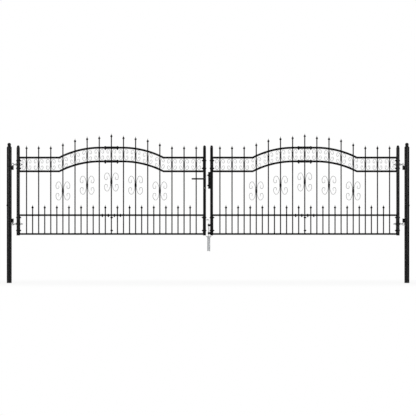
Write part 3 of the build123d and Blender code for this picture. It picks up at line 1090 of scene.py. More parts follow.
def bead_spots(leaf, way):
    """Above and below each rail where a picket passes."""
    spots = []
    for count in range(1, 2 * picket_steps + 1):
        run = count * picket_pitch / 2
        x = leaf.x + way * run
        twist = bead_twist * count
        spots.append(((x, 0, bottom_rail_z + lower_rail / 2), (0, 0, twist), full_size))
        spots.append(((x, 0, mid_rail_z + lower_rail / 2), (0, 0, twist), full_size))
        spots.append(((x, 0, mid_rail_z - lower_rail / 2), (180, 0, twist), full_size))
        if count % 2:
            continue
        slope = (rail_rise(run + mm) - rail_rise(run - mm)) / (2 * mm) * way
        tilt = -math.degrees(math.atan(slope))
        lift = upper_rail / 2 / math.cos(math.radians(tilt))
        for rail_z in (second_rail_z, top_rail_z):
            z = rail_z + rail_rise(run)
            spots.append(((x, 0, z + lift), (0, tilt, 0), full_size))
            spots.append(((x, 0, z - lift), (180, -tilt, 0), full_size))
    return spots


print("a half has", len(bead_spots(left_leaf, 1)), "weld beads")

# %% Assemble the four halves
centre_flat = 5.5 * mm
flat_width = 18 * mm


def flat_between(x, thickness, low_z, low_size, high_z, high_size):
    """An end flat between two rails."""
    bottom = low_z + low_size / 2
    top = high_z - high_size / 2
    size = (thickness, flat_width, top - bottom)
    return block(size, (x, 0, (bottom + top) / 2), bevel=0.5 * mm, segments=1)


def half_panel(leaf, way, end):
    """One half of a leaf."""
    upper = [arched_path(leaf, way, end, z) for z in (second_rail_z, top_rail_z)]
    lower = [straight_path(leaf, way, end, z) for z in (bottom_rail_z, mid_rail_z)]
    lower_gap = (bottom_rail_z, lower_rail, mid_rail_z, lower_rail)
    upper_gap = (second_rail_z, upper_rail, top_rail_z, upper_rail)
    stile_x = leaf.x + way * (end - stile_flat / 2)
    return [
        bars(upper, upper_rail, upper_rail, rail_corner, powder),
        bars(lower, lower_rail, lower_rail, rail_corner, powder),
        stamps(picket_pattern(), picket_spots(leaf, way), powder),
        stamps(bead_pattern(), bead_spots(leaf, way), powder),
        flat_between(stile_x, stile_flat, *lower_gap),
        flat_between(stile_x, stile_flat, *upper_gap),
        flat_between(leaf.x + way * centre_flat / 2, centre_flat, *lower_gap),
    ]


for leaf in leaves:
    hinge_end = abs(leaf.hinge.x - leaf.x) - hinge_stile_radius
    meeting_end = abs(leaf.meeting.x - leaf.x) - meeting_stile_width / 2
    for name, way, end in (("hinge", -leaf.toward, hinge_end), ("meeting", leaf.toward, meeting_end)):
        meshes = half_panel(leaf, way, end)
        node = f"{leaf.side}_{name}_panel"
        keep(f"{leaf.side}_{name}_half", leaf.body, meshes, powder, [node])

# %% [markdown]
# ## Middle picket and its sleeves
# The middle picket stands on the joint of the two halves. Two square sleeves slide over the ends of
# the arched rails at the crown and hold the halves in line. The crown is flat there, so blocks a
# little larger than the rail, with softened rims, are enough.

# %% Place the middle picket with its sleeves
sleeve_length = extent("left_centre_picket").x
sleeve_size = extent("left_centre_picket").y

for leaf in leaves:
    start = mid_rail_z + lower_rail / 2
    spot = ((leaf.x, 0, start), upright, (1, 1, tall_top(0) - start))
    meshes = [stamps(picket_pattern(), [spot], powder)]
    beads = [((leaf.x, 0, start), upright, full_size)]
    for rail_z in (second_rail_z, top_rail_z):
        z = rail_z + arch_rise
        sleeve = (sleeve_length, sleeve_size, sleeve_size)
        meshes.append(block(sleeve, (leaf.x, 0, z), bevel=1.6 * mm, segments=3))
        beads.append(((leaf.x, 0, z + sleeve_size / 2), upright, full_size))
        beads.append(((leaf.x, 0, z - sleeve_size / 2), (180, 0, 0), full_size))
    meshes.append(stamps(bead_pattern(), beads, powder))
    keep(leaf.side + "_middle_bar", leaf.body, meshes, powder, [leaf.side + "_centre_picket"])

# %% [markdown]
# ## Spear tips
# Every picket ends in a cast spear tip. Casting gives it a soft diamond section: round where it
# grips the bar, widest a quarter of the way up, then hollow-sided to a point. Sculpting one would
# do, but rings of a superellipse are exact, because one exponent turns the circle into a diamond.

# %% Cast the spear tips
tip_height = 40 * mm
tip_width = 24 * mm
tip_thickness = 15 * mm
tip_sides = 16
# Rise, half width and half thickness as shares, and the exponent of the section
tip_ring_shares = (
    (0.00, 0.52, 0.84, 2.0),
    (0.05, 0.60, 0.92, 2.0),
    (0.10, 0.66, 0.92, 1.9),
    (0.16, 0.86, 0.96, 1.65),
    (0.22, 0.98, 1.00, 1.45),
    (0.28, 1.00, 1.00, 1.35),
    (0.35, 0.92, 0.93, 1.3),
    (0.44, 0.62, 0.76, 1.3),
    (0.56, 0.37, 0.54, 1.35),
    (0.72, 0.20, 0.32, 1.45),
    (0.88, 0.10, 0.16, 1.7),
    (0.97, 0.05, 0.08, 2.0),
)


def spear_tip():
    """One tip, standing on zero."""
    rows = []
    for rise, wide, thick, exponent in tip_ring_shares:
        row = []
        for index in range(tip_sides):
            angle = math.tau * index / tip_sides
            cosine, sine = math.cos(angle), math.sin(angle)
            x = math.copysign(abs(cosine) ** (2 / exponent), cosine) * wide * tip_width / 2
            y = math.copysign(abs(sine) ** (2 / exponent), sine) * thick * tip_thickness / 2
            row.append((x, y, rise * tip_height))
        rows.append(row)
    rows.append([(0, 0, tip_height)] * tip_sides)
    return skin(rows)


for leaf in leaves:
    spots = []
    for step in range(-picket_steps, picket_steps + 1):
        x = leaf.x + step * picket_pitch
        spots.append(((x, 0, tall_top(step)), upright, full_size))
        if step < picket_steps:
            spots.append(((x + picket_pitch / 2, 0, short_top_z), upright, full_size))
    tips = stamps(spear_tip(), spots, powder)
    keep(leaf.side + "_cast_tips", leaf.body, [tips], powder, [leaf.side + "_spear_tips"], sharp=50)

# %% [markdown]
# ## C scrolls
# A smith bends a C scroll cold round a jig: a long gentle back, a quick shoulder, a flatter run and a
# tight curl whose tip opens a little. A Bezier curve could be drawn by eye, but here the middle line
# is a chain of arcs, each tangent to the last, so that its bends are plain numbers. A flat bar
# follows that line, a little thinner at both ends.

# %% Bend the scrolls
scroll_back_share = 0.08
# Radius as a share of the scroll's height, and the turn in degrees
scroll_bends = ((0.645, 32), (0.095, 104), (0.258, 66), (0.0705, 154), (0.1435, 40))
degrees_per_step = 9
end_girth = 0.62
girth_per_step = 0.06


def scroll_line(height):
    """Half of a C scroll's middle line, as (out, along) from the middle of its back."""
    out, along = 0.0, scroll_back_share * height
    heading = math.pi / 2
    points = [(0.0, 0.0), (out, along)]
    for radius_share, turn in scroll_bends:
        count = max(3, round(turn / degrees_per_step))
        step = math.radians(turn) / count
        chord = 2 * radius_share * height * math.sin(step / 2)
        for index in range(count):
            out += chord * math.cos(heading - step / 2)
            along += chord * math.sin(heading - step / 2)
            heading -= step
            points.append((out, along))
    return points


def scroll_path(height):
    """A whole C scroll in the XZ plane, its ends drawn a little thinner."""
    half = scroll_line(height)
    line = [(out, -along) for out, along in reversed(half[1:])] + half
    last = len(line) - 1
    path = []
    for index, (out, along) in enumerate(line):
        from_end = min(index, last - index)
        path.append((out, 0, along, min(1.0, end_girth + girth_per_step * from_end)))
    return path


def scroll(height, thickness, depth, corner, sunk=0.0):
    """A C scroll on the +X side of a picket, its back touching the picket or sunk into it."""
    bar = bars([scroll_path(height)], thickness, depth, corner, powder)
    return moved(bar, (picket_width / 2 + thickness / 2 - sunk, 0, 0))


print("a scroll's line has", len(scroll_path(1.0)), "points")

# %% [markdown]
# ### Large pairs and their collars
# Five pairs of large scrolls stand back to back on pickets of each leaf, and a collar clasps each
# pair. A collar is a strip bent round picket and scrolls. It could be bent here too, but its inside
# never shows, so a block with two rolled rims is enough.

# %% Set the large pairs and their collars
scroll_height = 197 * mm
scroll_bar = 3.2 * mm
scroll_depth = extent("left_scrolls").y
collar_height = 30 * mm
collar_wall = 1.3 * mm
collar_play = 0.4 * mm
# Steps from the leaf's middle, and the collar's height as a share of the middle bay
scroll_places = ((0, 0.756), (2, 0.683), (-2, 0.683), (4, 0.552), (-4, 0.552))
both_sides = (0, 180)


def collar():
    """A clasped band with rolled rims, round a picket and two scroll backs."""
    width = picket_width + 2 * scroll_bar + 2 * collar_wall + collar_play
    depth = extent("left_scroll_collars").y
    band = block((width, depth, collar_height), bevel=1.8 * mm, segments=3)
    rim, proud_x, proud_y = 2.6 * mm, 1.2 * mm, 0.6 * mm
    rolled = [band]
    for z in (-collar_height / 2 + rim, collar_height / 2 - rim):
        rolled.append(block((width + proud_x, depth + proud_y, rim), (0, 0, z), bevel=1.1 * mm))
    return joined(rolled)


for leaf in leaves:
    scroll_spots, collar_spots = [], []
    for step, share in scroll_places:
        place = (leaf.x + step * picket_pitch, 0, mid_rail_z + share * middle_bay)
        collar_spots.append((place, upright, full_size))
        scroll_spots += [(place, (0, 0, angle), full_size) for angle in both_sides]
    pattern = scroll(scroll_height, scroll_bar, scroll_depth, corner=0.9 * mm)
    large = stamps(pattern, scroll_spots, powder)
    keep(leaf.side + "_c_scrolls", leaf.body, [large], powder, [leaf.side + "_scrolls"], sharp=40)
    bands = stamps(collar(), collar_spots, powder)
    keep(leaf.side + "_collars", leaf.body, [bands], powder, [leaf.side + "_scroll_collars"])

# %% [markdown]
# ### Frieze scrolls
# Small scrolls of the same shape fill the frieze between the arched rails, on both sides of every
# tall picket. Each could be drawn for its place, but one pattern is enough: where the rails slope,
# its stamp is made a little less tall, so that it fits between them.

# %% Fill the frieze with small scrolls
frieze_scroll_height = 112 * mm
frieze_bar = 2.6 * mm
frieze_depth = 8 * mm
frieze_reach = 26 * mm
frieze_stretch = 1.07
frieze_clear = (frieze_bay - upper_rail) / 2


def frieze_spots(leaf):
    """Two small scrolls on each tall picket. Each follows the slope of the rails on its side."""
    spots = []
    for step in range(-picket_steps, picket_steps + 1):
        run = step * picket_pitch
        for way, angle in zip((1, -1), both_sides):
            at = run + way * frieze_reach
            z = (second_rail_z + top_rail_z) / 2 + (rail_rise(at) + rail_rise(run)) / 2
            slope = abs(rail_rise(at + frieze_reach) - rail_rise(at - frieze_reach)) / 2
            size = min(1.0, (frieze_clear - slope / 2) / (frieze_scroll_height / 2))
            spots.append(((leaf.x + run, 0, z), (0, 0, angle), (frieze_stretch, 1, size)))
    return spots


for leaf in leaves:
    small = scroll(frieze_scroll_height, frieze_bar, frieze_depth, corner=0.7 * mm, sunk=0.8 * mm)
    curls = stamps(small, frieze_spots(leaf), powder)
    keep(leaf.side + "_frieze_scrolls", leaf.body, [curls], powder, sharp=40)

# %% [markdown]
# ## Bolts
# The gate is put together with small black bolts: upright ones through the sleeves and the middle
# rail, level ones through the stiles and the centre flats. One end is a low dome, the other a nut
# with the bolt's end standing out. What lies inside the tubes never shows, so a bolt is only its two
# ends, and two patterns are stamped wherever one goes through.

# %% Make a dome head and a nut end
bolt_radius = 4 * mm
bolt_nut = 13 * mm
bolt_nut_height = 6.4 * mm
bolt_washer_radius = 8 * mm
bolt_washer = 1.5 * mm


def dome_head(radius, height):
    """A low domed head on a thin washer face, standing on zero."""
    sunk, rim = -0.3 * mm, 0.5 * mm
    skirt = radius * 1.02
    ball = (radius**2 + height**2) / (2 * height)
    spread = math.degrees(math.asin(min(1.0, radius / ball)))
    profile = [(0, sunk), (skirt, sunk), (skirt, rim)]
    profile += arc((0, rim + height - ball), ball, 90 - spread, 90, count=7)
    return turned(profile, segments=24)


def nut_end(height):
    """A washer, a nut and the end of a bolt, standing on zero."""
    hidden = 3 * mm
    nut = moved(hex_nut(bolt_nut, bolt_nut_height), (0, 0, bolt_washer))
    end = threaded(bolt_radius, bolt_washer + hidden, height)
    return joined([washer(bolt_washer_radius, bolt_washer), nut, end])


# The turns that point a pattern's +Z along an axis
facing = {"+z": (0, 0, 0), "-z": (180, 0, 0), "+x": (0, 90, 0), "-x": (0, -90, 0)}
print("bolt ends can face", list(facing))

# %% Find where the bolts go
sleeve_bolt_offsets = (-61 * mm, 61 * mm)
rail_bolt_offsets = (-91 * mm, -30 * mm, 30 * mm, 91 * mm)
lower_bolt_heights = (529 * mm, 660 * mm)
upper_bolt_heights = (1156 * mm, 1234 * mm)


def upright_bolts(leaf):
    """The bolts through the sleeves and the middle rail, as places of heads and of nuts."""
    heads, nuts, rails = [], [], []
    for offset in sleeve_bolt_offsets:
        rails += [(offset, z + arch_rise, sleeve_size / 2) for z in (second_rail_z, top_rail_z)]
    rails += [(offset, mid_rail_z, lower_rail / 2) for offset in rail_bolt_offsets]
    for offset, z, half in rails:
        heads.append(((leaf.x + offset, 0, z + half), facing["+z"], full_size))
        nuts.append(((leaf.x + offset, 0, z - half), facing["-z"], full_size))
    return heads, nuts


def level_bolts(leaf):
    """The bolts through the centre flats and both stiles, as places of heads and of nuts."""
    heads, nuts = [], []
    for z in lower_bolt_heights:
        heads.append(((leaf.x - centre_flat, 0, z), facing["-x"], full_size))
        nuts.append(((leaf.x + centre_flat, 0, z), facing["+x"], full_size))
    hinge = (leaf.hinge.x, hinge_stile_radius, leaf.toward)
    meeting = (leaf.meeting.x, meeting_stile_width / 2, -leaf.toward)
    for x, half, inward in (hinge, meeting):
        out_way, in_way = ("-x", "+x") if inward > 0 else ("+x", "-x")
        for z in lower_bolt_heights + upper_bolt_heights:
            heads.append(((x - inward * half, 0, z), facing[out_way], full_size))
            nuts.append(((x + inward * (half + stile_flat), 0, z), facing[in_way], full_size))
    return heads, nuts


counts = [len(places(left_leaf)[0]) for places in (upright_bolts, level_bolts)]
print("upright and level bolts of a leaf:", counts)

# %% Stamp the bolts
post_bolt_z = 782 * mm
post_bolt_sunk = 0.6 * mm
joining_head = dome_head(radius=7.6 * mm, height=4.6 * mm)
joining_nut = nut_end(height=11.5 * mm)
post_head = dome_head(radius=10.5 * mm, height=3.6 * mm)

for leaf in leaves:
    upright_heads, upright_nuts = upright_bolts(leaf)
    level_heads, level_nuts = level_bolts(leaf)
    heads = stamps(joining_head, upright_heads + level_heads, powder)
    nuts = stamps(joining_nut, upright_nuts + level_nuts, powder)
    keep(leaf.side + "_joining_bolts", leaf.body, [heads, nuts], powder)

reach = post_radius - post_bolt_sunk
post_bolts = [
    ((post_places[0] - reach, 0, post_bolt_z), facing["-x"], full_size),
    ((post_places[1] + reach, 0, post_bolt_z), facing["+x"], full_size),
]
keep("post_bolts", "posts", [stamps(post_head, post_bolts, powder)], powder)

# %% [markdown]
# ## Lock
# The left meeting stile holds a narrow lock. A long plate on each face carries a lever, and a key
# cylinder passes through below. A bevelled block would have square corners, so a plate is a rounded
# outline raised into a prism, with a stepped hole carved out where the lever turns.

# %% Make the handle plates
lock_x = left_leaf.meeting.x
lever_z = middle("front_lever").z
plate_low, plate_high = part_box("handle_plates")
plate_middle = (plate_low.z + plate_high.z) / 2
plate_width = plate_high.x - plate_low.x
plate_length = plate_high.z - plate_low.z
plate_thickness = plate_high.y - meeting_stile_width / 2
plate_recess_radius = 9.2 * mm
plate_recess = 1.2 * mm
screw_margin = 9 * mm


def rounded_outline(width, length, radius):
    """A rectangle with round corners, as points in a plane."""
    points = []
    for sign_x, sign_y, start in ((1, 1, 0), (-1, 1, 90), (-1, -1, 180), (1, -1, 270)):
        centre = (sign_x * (width / 2 - radius), sign_y * (length / 2 - radius))
        points += arc(centre, radius, start, start + 90, count=6)
    return points


def plate():
    """A handle plate lying on zero, its length along Y, bored and sunk where the lever turns."""
    outline = rounded_outline(plate_width, plate_length, radius=5 * mm)
    body = prism(outline, plate_thickness, bevel=1.5 * mm, segments=3)
    back, step, front = -plate_thickness, plate_thickness - plate_recess, 2 * plate_thickness
    hole = [(0, back), (spindle_bore, back), (spindle_bore, step)]
    hole += [(plate_recess_radius, step), (plate_recess_radius, front), (0, front)]
    return carved(body, [moved(turned(hole, segments=40), (0, lever_z - plate_middle, 0))])


def cross_screw(radius, height):
    """A low screw head with a cross recess, standing on zero."""
    long, narrow, deep = radius * 1.1, radius * 0.26, height * 2
    centre = (0, 0, height * 1.3)
    arms = [block((long, narrow, deep), centre, bevel=0), block((narrow, long, deep), centre, bevel=0)]
    return carved(dome_head(radius, height), arms)


plate_body = plate()
plates, screws = [], []
for y, turn in ((-meeting_stile_width / 2, (90, 0, 0)), (meeting_stile_width / 2, (90, 0, 180))):
    plates.append(moved(plate_body, (lock_x, y, plate_middle), turn))
    face = y + math.copysign(plate_thickness, y)
    for shift in (-plate_length / 2 + screw_margin, plate_length / 2 - screw_margin):
        screws.append(((lock_x, face, plate_middle + shift), turn, full_size))
screw_mesh = stamps(cross_screw(radius=4.2 * mm, height=1.2 * mm), screws, powder)
keep("handle_backplates", left_leaf.body, plates + [screw_mesh], powder, ["handle_plates"])

# %% [markdown]
# ### Levers
# A lever is one rounded bar: out from the plate, round a knee and along to a rounded end. Joined
# cylinders would show a seam at the knee, so the bar follows a bent path, and its end is closed by
# thinning the girth as a quarter circle does. The rear lever is the front one mirrored, with its
# faces turned outwards again.

# %% Bend the levers
lever_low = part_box("front_lever")[0]
lever_width = extent("front_lever").z
lever_thickness = 12 * mm
lever_bend = 14 * mm
lever_corner = 4.6 * mm
lever_gap = 0.4 * mm
lever_end_angles = (25, 45, 60, 72, 82, 88)


def lever():
    """A bent lever on the front face, from its root at the plate to its rounded end."""
    root = -(meeting_stile_width / 2 + plate_thickness + lever_gap)
    knee = lever_low.y + lever_thickness / 2
    end = lever_low.x
    path = [(lock_x, root, lever_z), (lock_x, knee + lever_bend, lever_z)]
    bend = arc((lock_x - lever_bend, knee + lever_bend), lever_bend, 0, -90, count=10)
    path += [(x, y, lever_z) for x, y in bend[1:]]
    path.append((end + lever_thickness, knee, lever_z))
    for angle in lever_end_angles:
        shift = lever_thickness / 2 * math.sin(math.radians(angle))
        path.append((end + lever_thickness / 2 - shift, knee, lever_z, math.cos(math.radians(angle))))
    return bars([path], lever_thickness, lever_width, lever_corner, powder, across=(0, 0, 1))


front = lever()
rear = mesh_from(lambda shape: shape.from_mesh(moved(front, scale=(1, -1, 1))))
keep("front_handle", "lever", [front], powder, ["front_lever"])
keep("rear_handle", "lever", [rear], powder, ["rear_lever"])
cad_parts["lever_spindle"].data.materials.clear()
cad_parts["lever_spindle"].data.materials.append(zinc)

# %% [markdown]
# ### Key cylinder
# The cylinder's outline is a keyhole: a round barrel over a narrow tail. A cylinder and a block could
# be joined, but one outline raised into a prism has no seam. A keyway is carved in at each end. The
# plugs that the key turns are pieces of their own, because they are bare nickel and stand a little
# proud of the black barrel.

# %% Make the key cylinder
cylinder_low, cylinder_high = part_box("key_cylinder")
cylinder_radius = (cylinder_high.x - cylinder_low.x) / 2
cylinder_z = cylinder_high.z - cylinder_radius
cylinder_tail = 10 * mm
plug_radius = 6.6 * mm
plug_rise = 0.8 * mm
keyway_size = (2.2 * mm, 8.6 * mm, 8 * mm)
keyway_drop = 1 * mm


def cylinder_outline():
    """A round barrel over a narrow tail with a round end."""
    tail_end = cylinder_low.z - cylinder_z
    tail = cylinder_tail / 2
    start = math.degrees(math.asin(tail / cylinder_radius)) - 90
    outline = arc((0, 0), cylinder_radius, start, 180 - start, count=28)
    return outline + arc((0, tail_end + tail), tail, 180, 360, count=10)


def profile_cylinder():
    """The key cylinder through stile and plates, and its plug and keyway at each end."""
    length = cylinder_high.y - cylinder_low.y
    body = prism(cylinder_outline(), length, bevel=0.5 * mm)
    edge_in, edge_up = 0.4 * mm, 0.5 * mm
    profile = [(0, 0), (plug_radius, 0), (plug_radius, edge_up)]
    profile += [(plug_radius - edge_in, plug_rise), (0, plug_rise)]
    plug = turned(profile, segments=36)
    keyway = block(keyway_size, (0, -keyway_drop, 0), bevel=0)
    plugs = []
    for z, turn in ((length, 0), (0, 180)):
        plugs.append(carved(moved(plug, (0, 0, z), (0, turn, 0)), [moved(keyway, (0, 0, z))]))
    return carved(body, [keyway, moved(keyway, (0, 0, length))]), plugs


barrel, plugs = profile_cylinder()
place = (lock_x, cylinder_high.y, cylinder_z)
keep("key_barrel", left_leaf.body, [moved(barrel, place, (90, 0, 0))], powder, ["key_cylinder"])
keep("key_plugs", left_leaf.body, [moved(plug, place, (90, 0, 0)) for plug in plugs], nickel)

# %% [markdown]
# ### Forend and keep
# The forend is the strip of the lock that shows in the gap between the leaves, with two openings for
# latch and bolt. The keep on the right stile has a pocket opposite each. Holes that go into a piece
# are carved with Boolean modifiers, which is the plain way for a few square openings.

# %% Make the forend and its screws
case_low, case_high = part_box("lock_case")
forend_length = case_high.z - case_low.z
forend_width = case_high.y - case_low.y
forend_thickness = 2.4 * mm
forend_proud = 0.4 * mm
opening_size = (8 * mm, 11 * mm, 20 * mm)
pocket_drops = (1 * mm, 35 * mm)


def forend():
    """The lock's front strip, a hair proud of the stile, with its openings and what lies behind."""
    outline = rounded_outline(forend_width, forend_length, radius=3 * mm)
    strip = moved(prism(outline, forend_thickness, bevel=0.35 * mm), turn=(90, 0, 90))
    x = case_high.x - forend_thickness + forend_proud
    strip = moved(strip, (x, 0, (case_low.z + case_high.z) / 2))
    holes = [block(opening_size, (case_high.x, 0, lever_z - drop), bevel=0) for drop in pocket_drops]
    behind_size, inset = (0.6 * mm, 14 * mm, 70 * mm), 0.35 * mm
    behind = block(behind_size, (x + inset, 0, lever_z - pocket_drops[1] / 2), bevel=0)
    return [carved(strip, holes), behind]


keep("lock_forend", left_leaf.body, forend(), zinc, ["lock_case"])
screw_x = case_high.x + forend_proud
screw_heights = (case_low.z + screw_margin, case_high.z - screw_margin)
spots = [((screw_x, 0, z), facing["+x"], full_size) for z in screw_heights]
forend_screws = stamps(cross_screw(radius=4 * mm, height=1.6 * mm), spots, zinc)
keep("forend_screws", left_leaf.body, [forend_screws], zinc)

# %% Make the keep and its bolts
keep_low, keep_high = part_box("lock_keep")
pocket = (15 * mm, 14 * mm, 26 * mm)
keep_bolt_heights = (983 * mm, 1086 * mm)


def keep_block():
    """The keep's body, with a pocket for the latch and one for the bolt."""
    body = block(keep_high - keep_low, (keep_low + keep_high) / 2, bevel=1.5 * mm, segments=3)
    size = (2 * pocket[0], pocket[1], pocket[2])
    return carved(body, [block(size, (keep_low.x, 0, lever_z - drop), bevel=0) for drop in pocket_drops])


def cap_head_bolt():
    """A cap head on its washer, with a six-sided recess, standing on zero."""
    radius, height, soft, sides = 6.5 * mm, 8 * mm, 0.7 * mm, 36
    recess_width, base = 6 * mm, 1.6 * mm
    top = base + height
    rim = [(radius, base), (radius, top - soft), (radius - soft, top)]
    rows = [round_row(lambda angle: reach, z, sides) for reach, z in rim]
    for z in (top, top - height / 2):
        rows.append(round_row(lambda angle: hex_radius(recess_width, angle), z, sides))
    return joined([washer(bolt_washer_radius, base), skin(rows)])


keep("strike_keep", right_leaf.body, [keep_block()], powder, ["lock_keep"])
spots = [((keep_low.x, 0, z), facing["-x"], full_size) for z in keep_bolt_heights]
keep("keep_bolts", right_leaf.body, [stamps(cap_head_bolt(), spots, powder)], powder)

# %% [markdown]
# ## Drop bolt
# The right leaf is held by a bent rod that slides down into a socket in the drive. Joined cylinders
# would show a seam at the bend, so the rod is a round bar along a bent path, thinned at its point.
# Its guides are blocks on the stile, bored a little wider than the rod.

# %% Make the drop bolt and its guides
rod_low, rod_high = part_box("drop_bolt")
rod_radius = extent("drop_bolt").y / 2
rod_x = rod_high.x - rod_radius
arm_z = rod_high.z - rod_radius
rod_bend = 6.5 * mm
rod_play = 0.35 * mm
nearly_round = 0.996
guide_low, guide_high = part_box("bolt_guides")
guide_height = 21.5 * mm


def rod():
    """The drop bolt, from its tapered point to the end of its arm."""
    # Distance from an end, and the girth there
    point = ((0, 0.55), (1.2 * mm, 0.72), (7 * mm, 1.0))
    arm_end = ((1.2 * mm, 1.0), (0.4 * mm, 0.93), (0, 0.78))
    path = [(rod_x, 0, rod_low.z + rise, girth) for rise, girth in point]
    path.append((rod_x, 0, arm_z - rod_bend))
    bend = arc((rod_x - rod_bend, arm_z - rod_bend), rod_bend, 0, 90, count=8)
    path += [(x, 0, z) for x, z in bend[1:]]
    path += [(rod_low.x + inset, 0, arm_z, girth) for inset, girth in arm_end]
    return bars([path], 2 * rod_radius, 2 * rod_radius, nearly_round * rod_radius, zinc)


def guide(bottom):
    """A block on the stile, bored for the rod."""
    size = (guide_high.x - guide_low.x, guide_high.y - guide_low.y, guide_height)
    centre = ((guide_low.x + guide_high.x) / 2, 0, bottom + guide_height / 2)
    body = block(size, centre, bevel=1.2 * mm, segments=3)
    return carved(body, [bore(rod_radius + rod_play, (rod_x, 0, centre[2]))])


keep("slide_bolt", "drop_bolt", [rod()], zinc, ["drop_bolt"])
guides = [guide(bottom) for bottom in (guide_low.z, guide_high.z - guide_height)]
keep("slide_bolt_guides", right_leaf.body, guides, powder, ["bolt_guides"])

# %% [markdown]
# ### Ground socket
# The socket is a tube set in the drive. Its mouth opens into a funnel, so that the rod finds it, and
# ends in a rolled rim. A cone on a cylinder would have no wall, so the section is turned as a ring.

# %% Turn the ground socket
socket_low, socket_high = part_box("ground_socket")


def socket_tube():
    """A tube that opens into a funnel with a rolled rim."""
    outer, mouth, wall = 14.5 * mm, 29 * mm, 2.5 * mm
    inner = outer - wall
    rim_z = socket_high.z - 2 * mm
    funnel_z = rim_z - 13 * mm
    soft = 0.4 * mm
    profile = [
        (inner, socket_low.z),
        (outer - soft, socket_low.z),
        (outer, socket_low.z + soft),
        (outer, funnel_z - 2 * mm),
        (outer + 1.6 * mm, funnel_z + 1.2 * mm),
        (mouth - 2 * mm, rim_z - 1.2 * mm),
        (mouth - 0.3 * mm, rim_z - 0.2 * mm),
        (mouth, rim_z + 0.8 * mm),
        (mouth - 0.5 * mm, socket_high.z - 0.3 * mm),
        (mouth - 1.6 * mm, socket_high.z),
        (mouth - wall - 0.6 * mm, socket_high.z - 0.6 * mm),
        (inner + 1.2 * mm, funnel_z + 3.4 * mm),
        (inner, funnel_z + 0.6 * mm),
    ]
    return moved(turned(profile, segments=56, ring=True), (middle("ground_socket").x, 0, 0))


keep("funnel_socket", "posts", [socket_tube()], galvanised, ["ground_socket"])

# %% [markdown]
# ## Studio
# The photo is taken square from the front, on plain white. More light would whiten the background
# too, but it would turn the black paint grey. So white comes from what the camera sees of the
# world, which a Light Path node tells, and the gate itself stands in a plain grey studio.

# %% Light the world
white_colour = (1, 1, 1, 1)
backdrop_edge = (0.975, 0.995)
studio_strength = 0.5
glossy_dimming = 0.36
smooth = {"interpolation_type": "SMOOTHSTEP"}


def shown_white(graph, mirror_share):
    """One where a ray from the camera sees white: straight, through glass, or in a mirror."""
    seen = graph.add("ShaderNodeLightPath", output="Is Camera Ray")
    passed = graph.add("ShaderNodeLightPath", output="Is Transmission Ray")
    mirrored = graph.add("ShaderNodeLightPath", output="Is Glossy Ray") * mirror_share
    clamped = {"operation": "ADD", "use_clamp": True}
    return graph.add("ShaderNodeMath", clamped, {0: seen + passed, 1: mirrored})


def world_light():
    """A white backdrop behind the gate, and a plain grey studio in front of it."""
    world = bpy.data.worlds.new("studio")
    world.use_nodes = True
    scene.world = world
    world.node_tree.nodes.clear()
    graph = Graph(world.node_tree)
    direction = graph.add("ShaderNodeTexCoord", output="Generated")
    behind = graph.add("ShaderNodeSeparateXYZ", None, {"Vector": direction}, "Y")
    edge = {"Value": behind, "From Min": backdrop_edge[0], "From Max": backdrop_edge[1]}
    backdrop = graph.add("ShaderNodeMapRange", smooth, edge)
    shown = shown_white(graph, backdrop)
    white = graph.add("ShaderNodeBackground", None, {"Color": white_colour, "Strength": 1.0})
    glossy = graph.add("ShaderNodeLightPath", output="Is Glossy Ray")
    dimmed = studio_strength - glossy_dimming * glossy
    grey = graph.add("ShaderNodeBackground", None, {"Color": white_colour, "Strength": dimmed})
    mixed = graph.add("ShaderNodeMixShader", None, {0: shown, 1: grey, 2: white})
    graph.add("ShaderNodeOutputWorld", None, {"Surface": mixed})


world_light()
print("world", scene.world.name)

# %% [markdown]
# ### Floor
# A pale floor lies at the posts' feet. A plain one would show grey with a hard edge, so the camera
# sees it as white, apart from a share near the gate that keeps its shadow and fades further away.

# %% Mix the floor's material
view_middle = (2.0044, 0.756)
floor_ends = 2.1
floor_fade = 1.7
fade_margin = 0.1
shadow_share = 0.12
floor_grey = (0.86, 0.86, 0.86, 1)


def floor_material():
    """Diffuse near the gate by the share that keeps its shadow, and white further away."""
    material = bpy.data.materials.new("pale_floor")
    material.use_nodes = True
    material.node_tree.nodes.clear()
    graph = Graph(material.node_tree)
    place = graph.add("ShaderNodeTexCoord", output="Object")
    across = graph.add("ShaderNodeSeparateXYZ", None, {"Vector": place}, "X") - view_middle[0]
    along = graph.add("ShaderNodeSeparateXYZ", None, {"Vector": place}, "Y")
    past_ends = graph.add("ShaderNodeMath", {"operation": "ABSOLUTE"}, {0: across}) - floor_ends
    in_depth = graph.add("ShaderNodeMath", {"operation": "ABSOLUTE"}, {0: along})
    away = graph.add("ShaderNodeMath", {"operation": "MAXIMUM"}, {0: past_ends, 1: in_depth})
    fading = {
        "Value": away,
        "From Min": fade_margin,
        "From Max": floor_fade - fade_margin,
        "To Min": shadow_share,
        "To Max": 0.0,
    }
    near = graph.add("ShaderNodeMapRange", smooth, fading)
    lit = graph.add("ShaderNodeBsdfDiffuse", None, {"Color": floor_grey})
    white = graph.add("ShaderNodeEmission", None, {"Color": white_colour, "Strength": 1.0})
    shown = shown_white(graph, 1.0) * (1 - near)
    mixed = graph.add("ShaderNodeMixShader", None, {0: shown, 1: lit, 2: white})
    graph.add("ShaderNodeOutputMaterial", None, {"Surface": mixed})
    return material


pale_floor = floor_material()
print("material", pale_floor.name)

# %% Lay the floor
floor_drop = 0.2 * mm


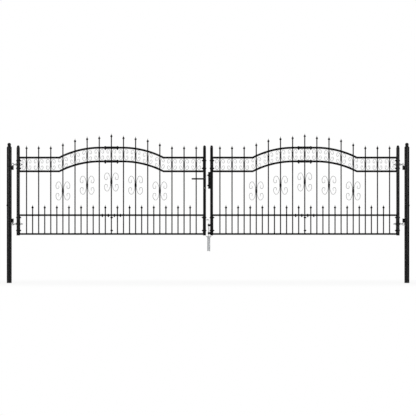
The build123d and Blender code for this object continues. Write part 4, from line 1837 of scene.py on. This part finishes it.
def floor():
    """A pale floor at the posts' feet. It keeps a soft shadow and fades to white further away."""
    centre = Vector((view_middle[0], 0, -floor_drop))
    half_x, half_y = floor_ends + floor_fade, floor_fade
    signs = ((-1, -1), (1, -1), (1, 1), (-1, 1))
    corners = [centre + Vector((x * half_x, y * half_y, 0)) for x, y in signs]
    mesh = bpy.data.meshes.new("floor")
    mesh.from_pydata(corners, [], [(0, 1, 2, 3)])
    mesh.materials.append(pale_floor)
    ground = bpy.data.objects.new("floor", mesh)
    scene.collection.objects.link(ground)


floor()
print("floor", round(2 * (floor_ends + floor_fade), 2), "by", round(2 * floor_fade, 2), "m")

# %% [markdown]
# ### Lamps and camera
# Two tall soft lamps stand left and right of the camera, so that round tubes show a soft band and
# flat faces stay dark. One lamp by the camera would flatten the tubes. The photo has hardly any
# perspective, so the camera stands far away with a long lens.

# %% Place the lamps
lamp_aside = 5.2
lamp_back = 5.6
lamp_z = 2.4
lamp_size = (1.6, 4.2)
lamp_power = 260
aim = Vector((view_middle[0], 0, 0.8))


def lamp(name, place):
    """A rectangular soft lamp aimed at the gate."""
    data = bpy.data.lights.new(name, "AREA")
    data.shape = "RECTANGLE"
    data.size, data.size_y = lamp_size
    data.energy = lamp_power
    thing = bpy.data.objects.new(name, data)
    scene.collection.objects.link(thing)
    thing.location = place
    thing.rotation_euler = (aim - Vector(place)).to_track_quat("-Z", "Y").to_euler()


lamp("left_softbox", (view_middle[0] - lamp_aside, -lamp_back, lamp_z))
lamp("right_softbox", (view_middle[0] + lamp_aside, -lamp_back, lamp_z))
print("two lamps of", lamp_power, "W")

# %% Place the camera
view_width = 4.195
camera_distance = 24.0
sensor = 36.0
camera = bpy.data.cameras.new("camera")
camera.sensor_width = sensor
camera.lens = sensor * camera_distance / view_width
camera.clip_end = 200
viewer = bpy.data.objects.new("camera", camera)
scene.collection.objects.link(viewer)
viewer.location = (view_middle[0], -camera_distance, view_middle[1])
viewer.rotation_euler = (math.radians(90), 0, 0)
scene.camera = viewer
scene.view_settings.view_transform = "Standard"
print("camera lens", round(camera.lens, 1), "mm at", camera_distance, "m")
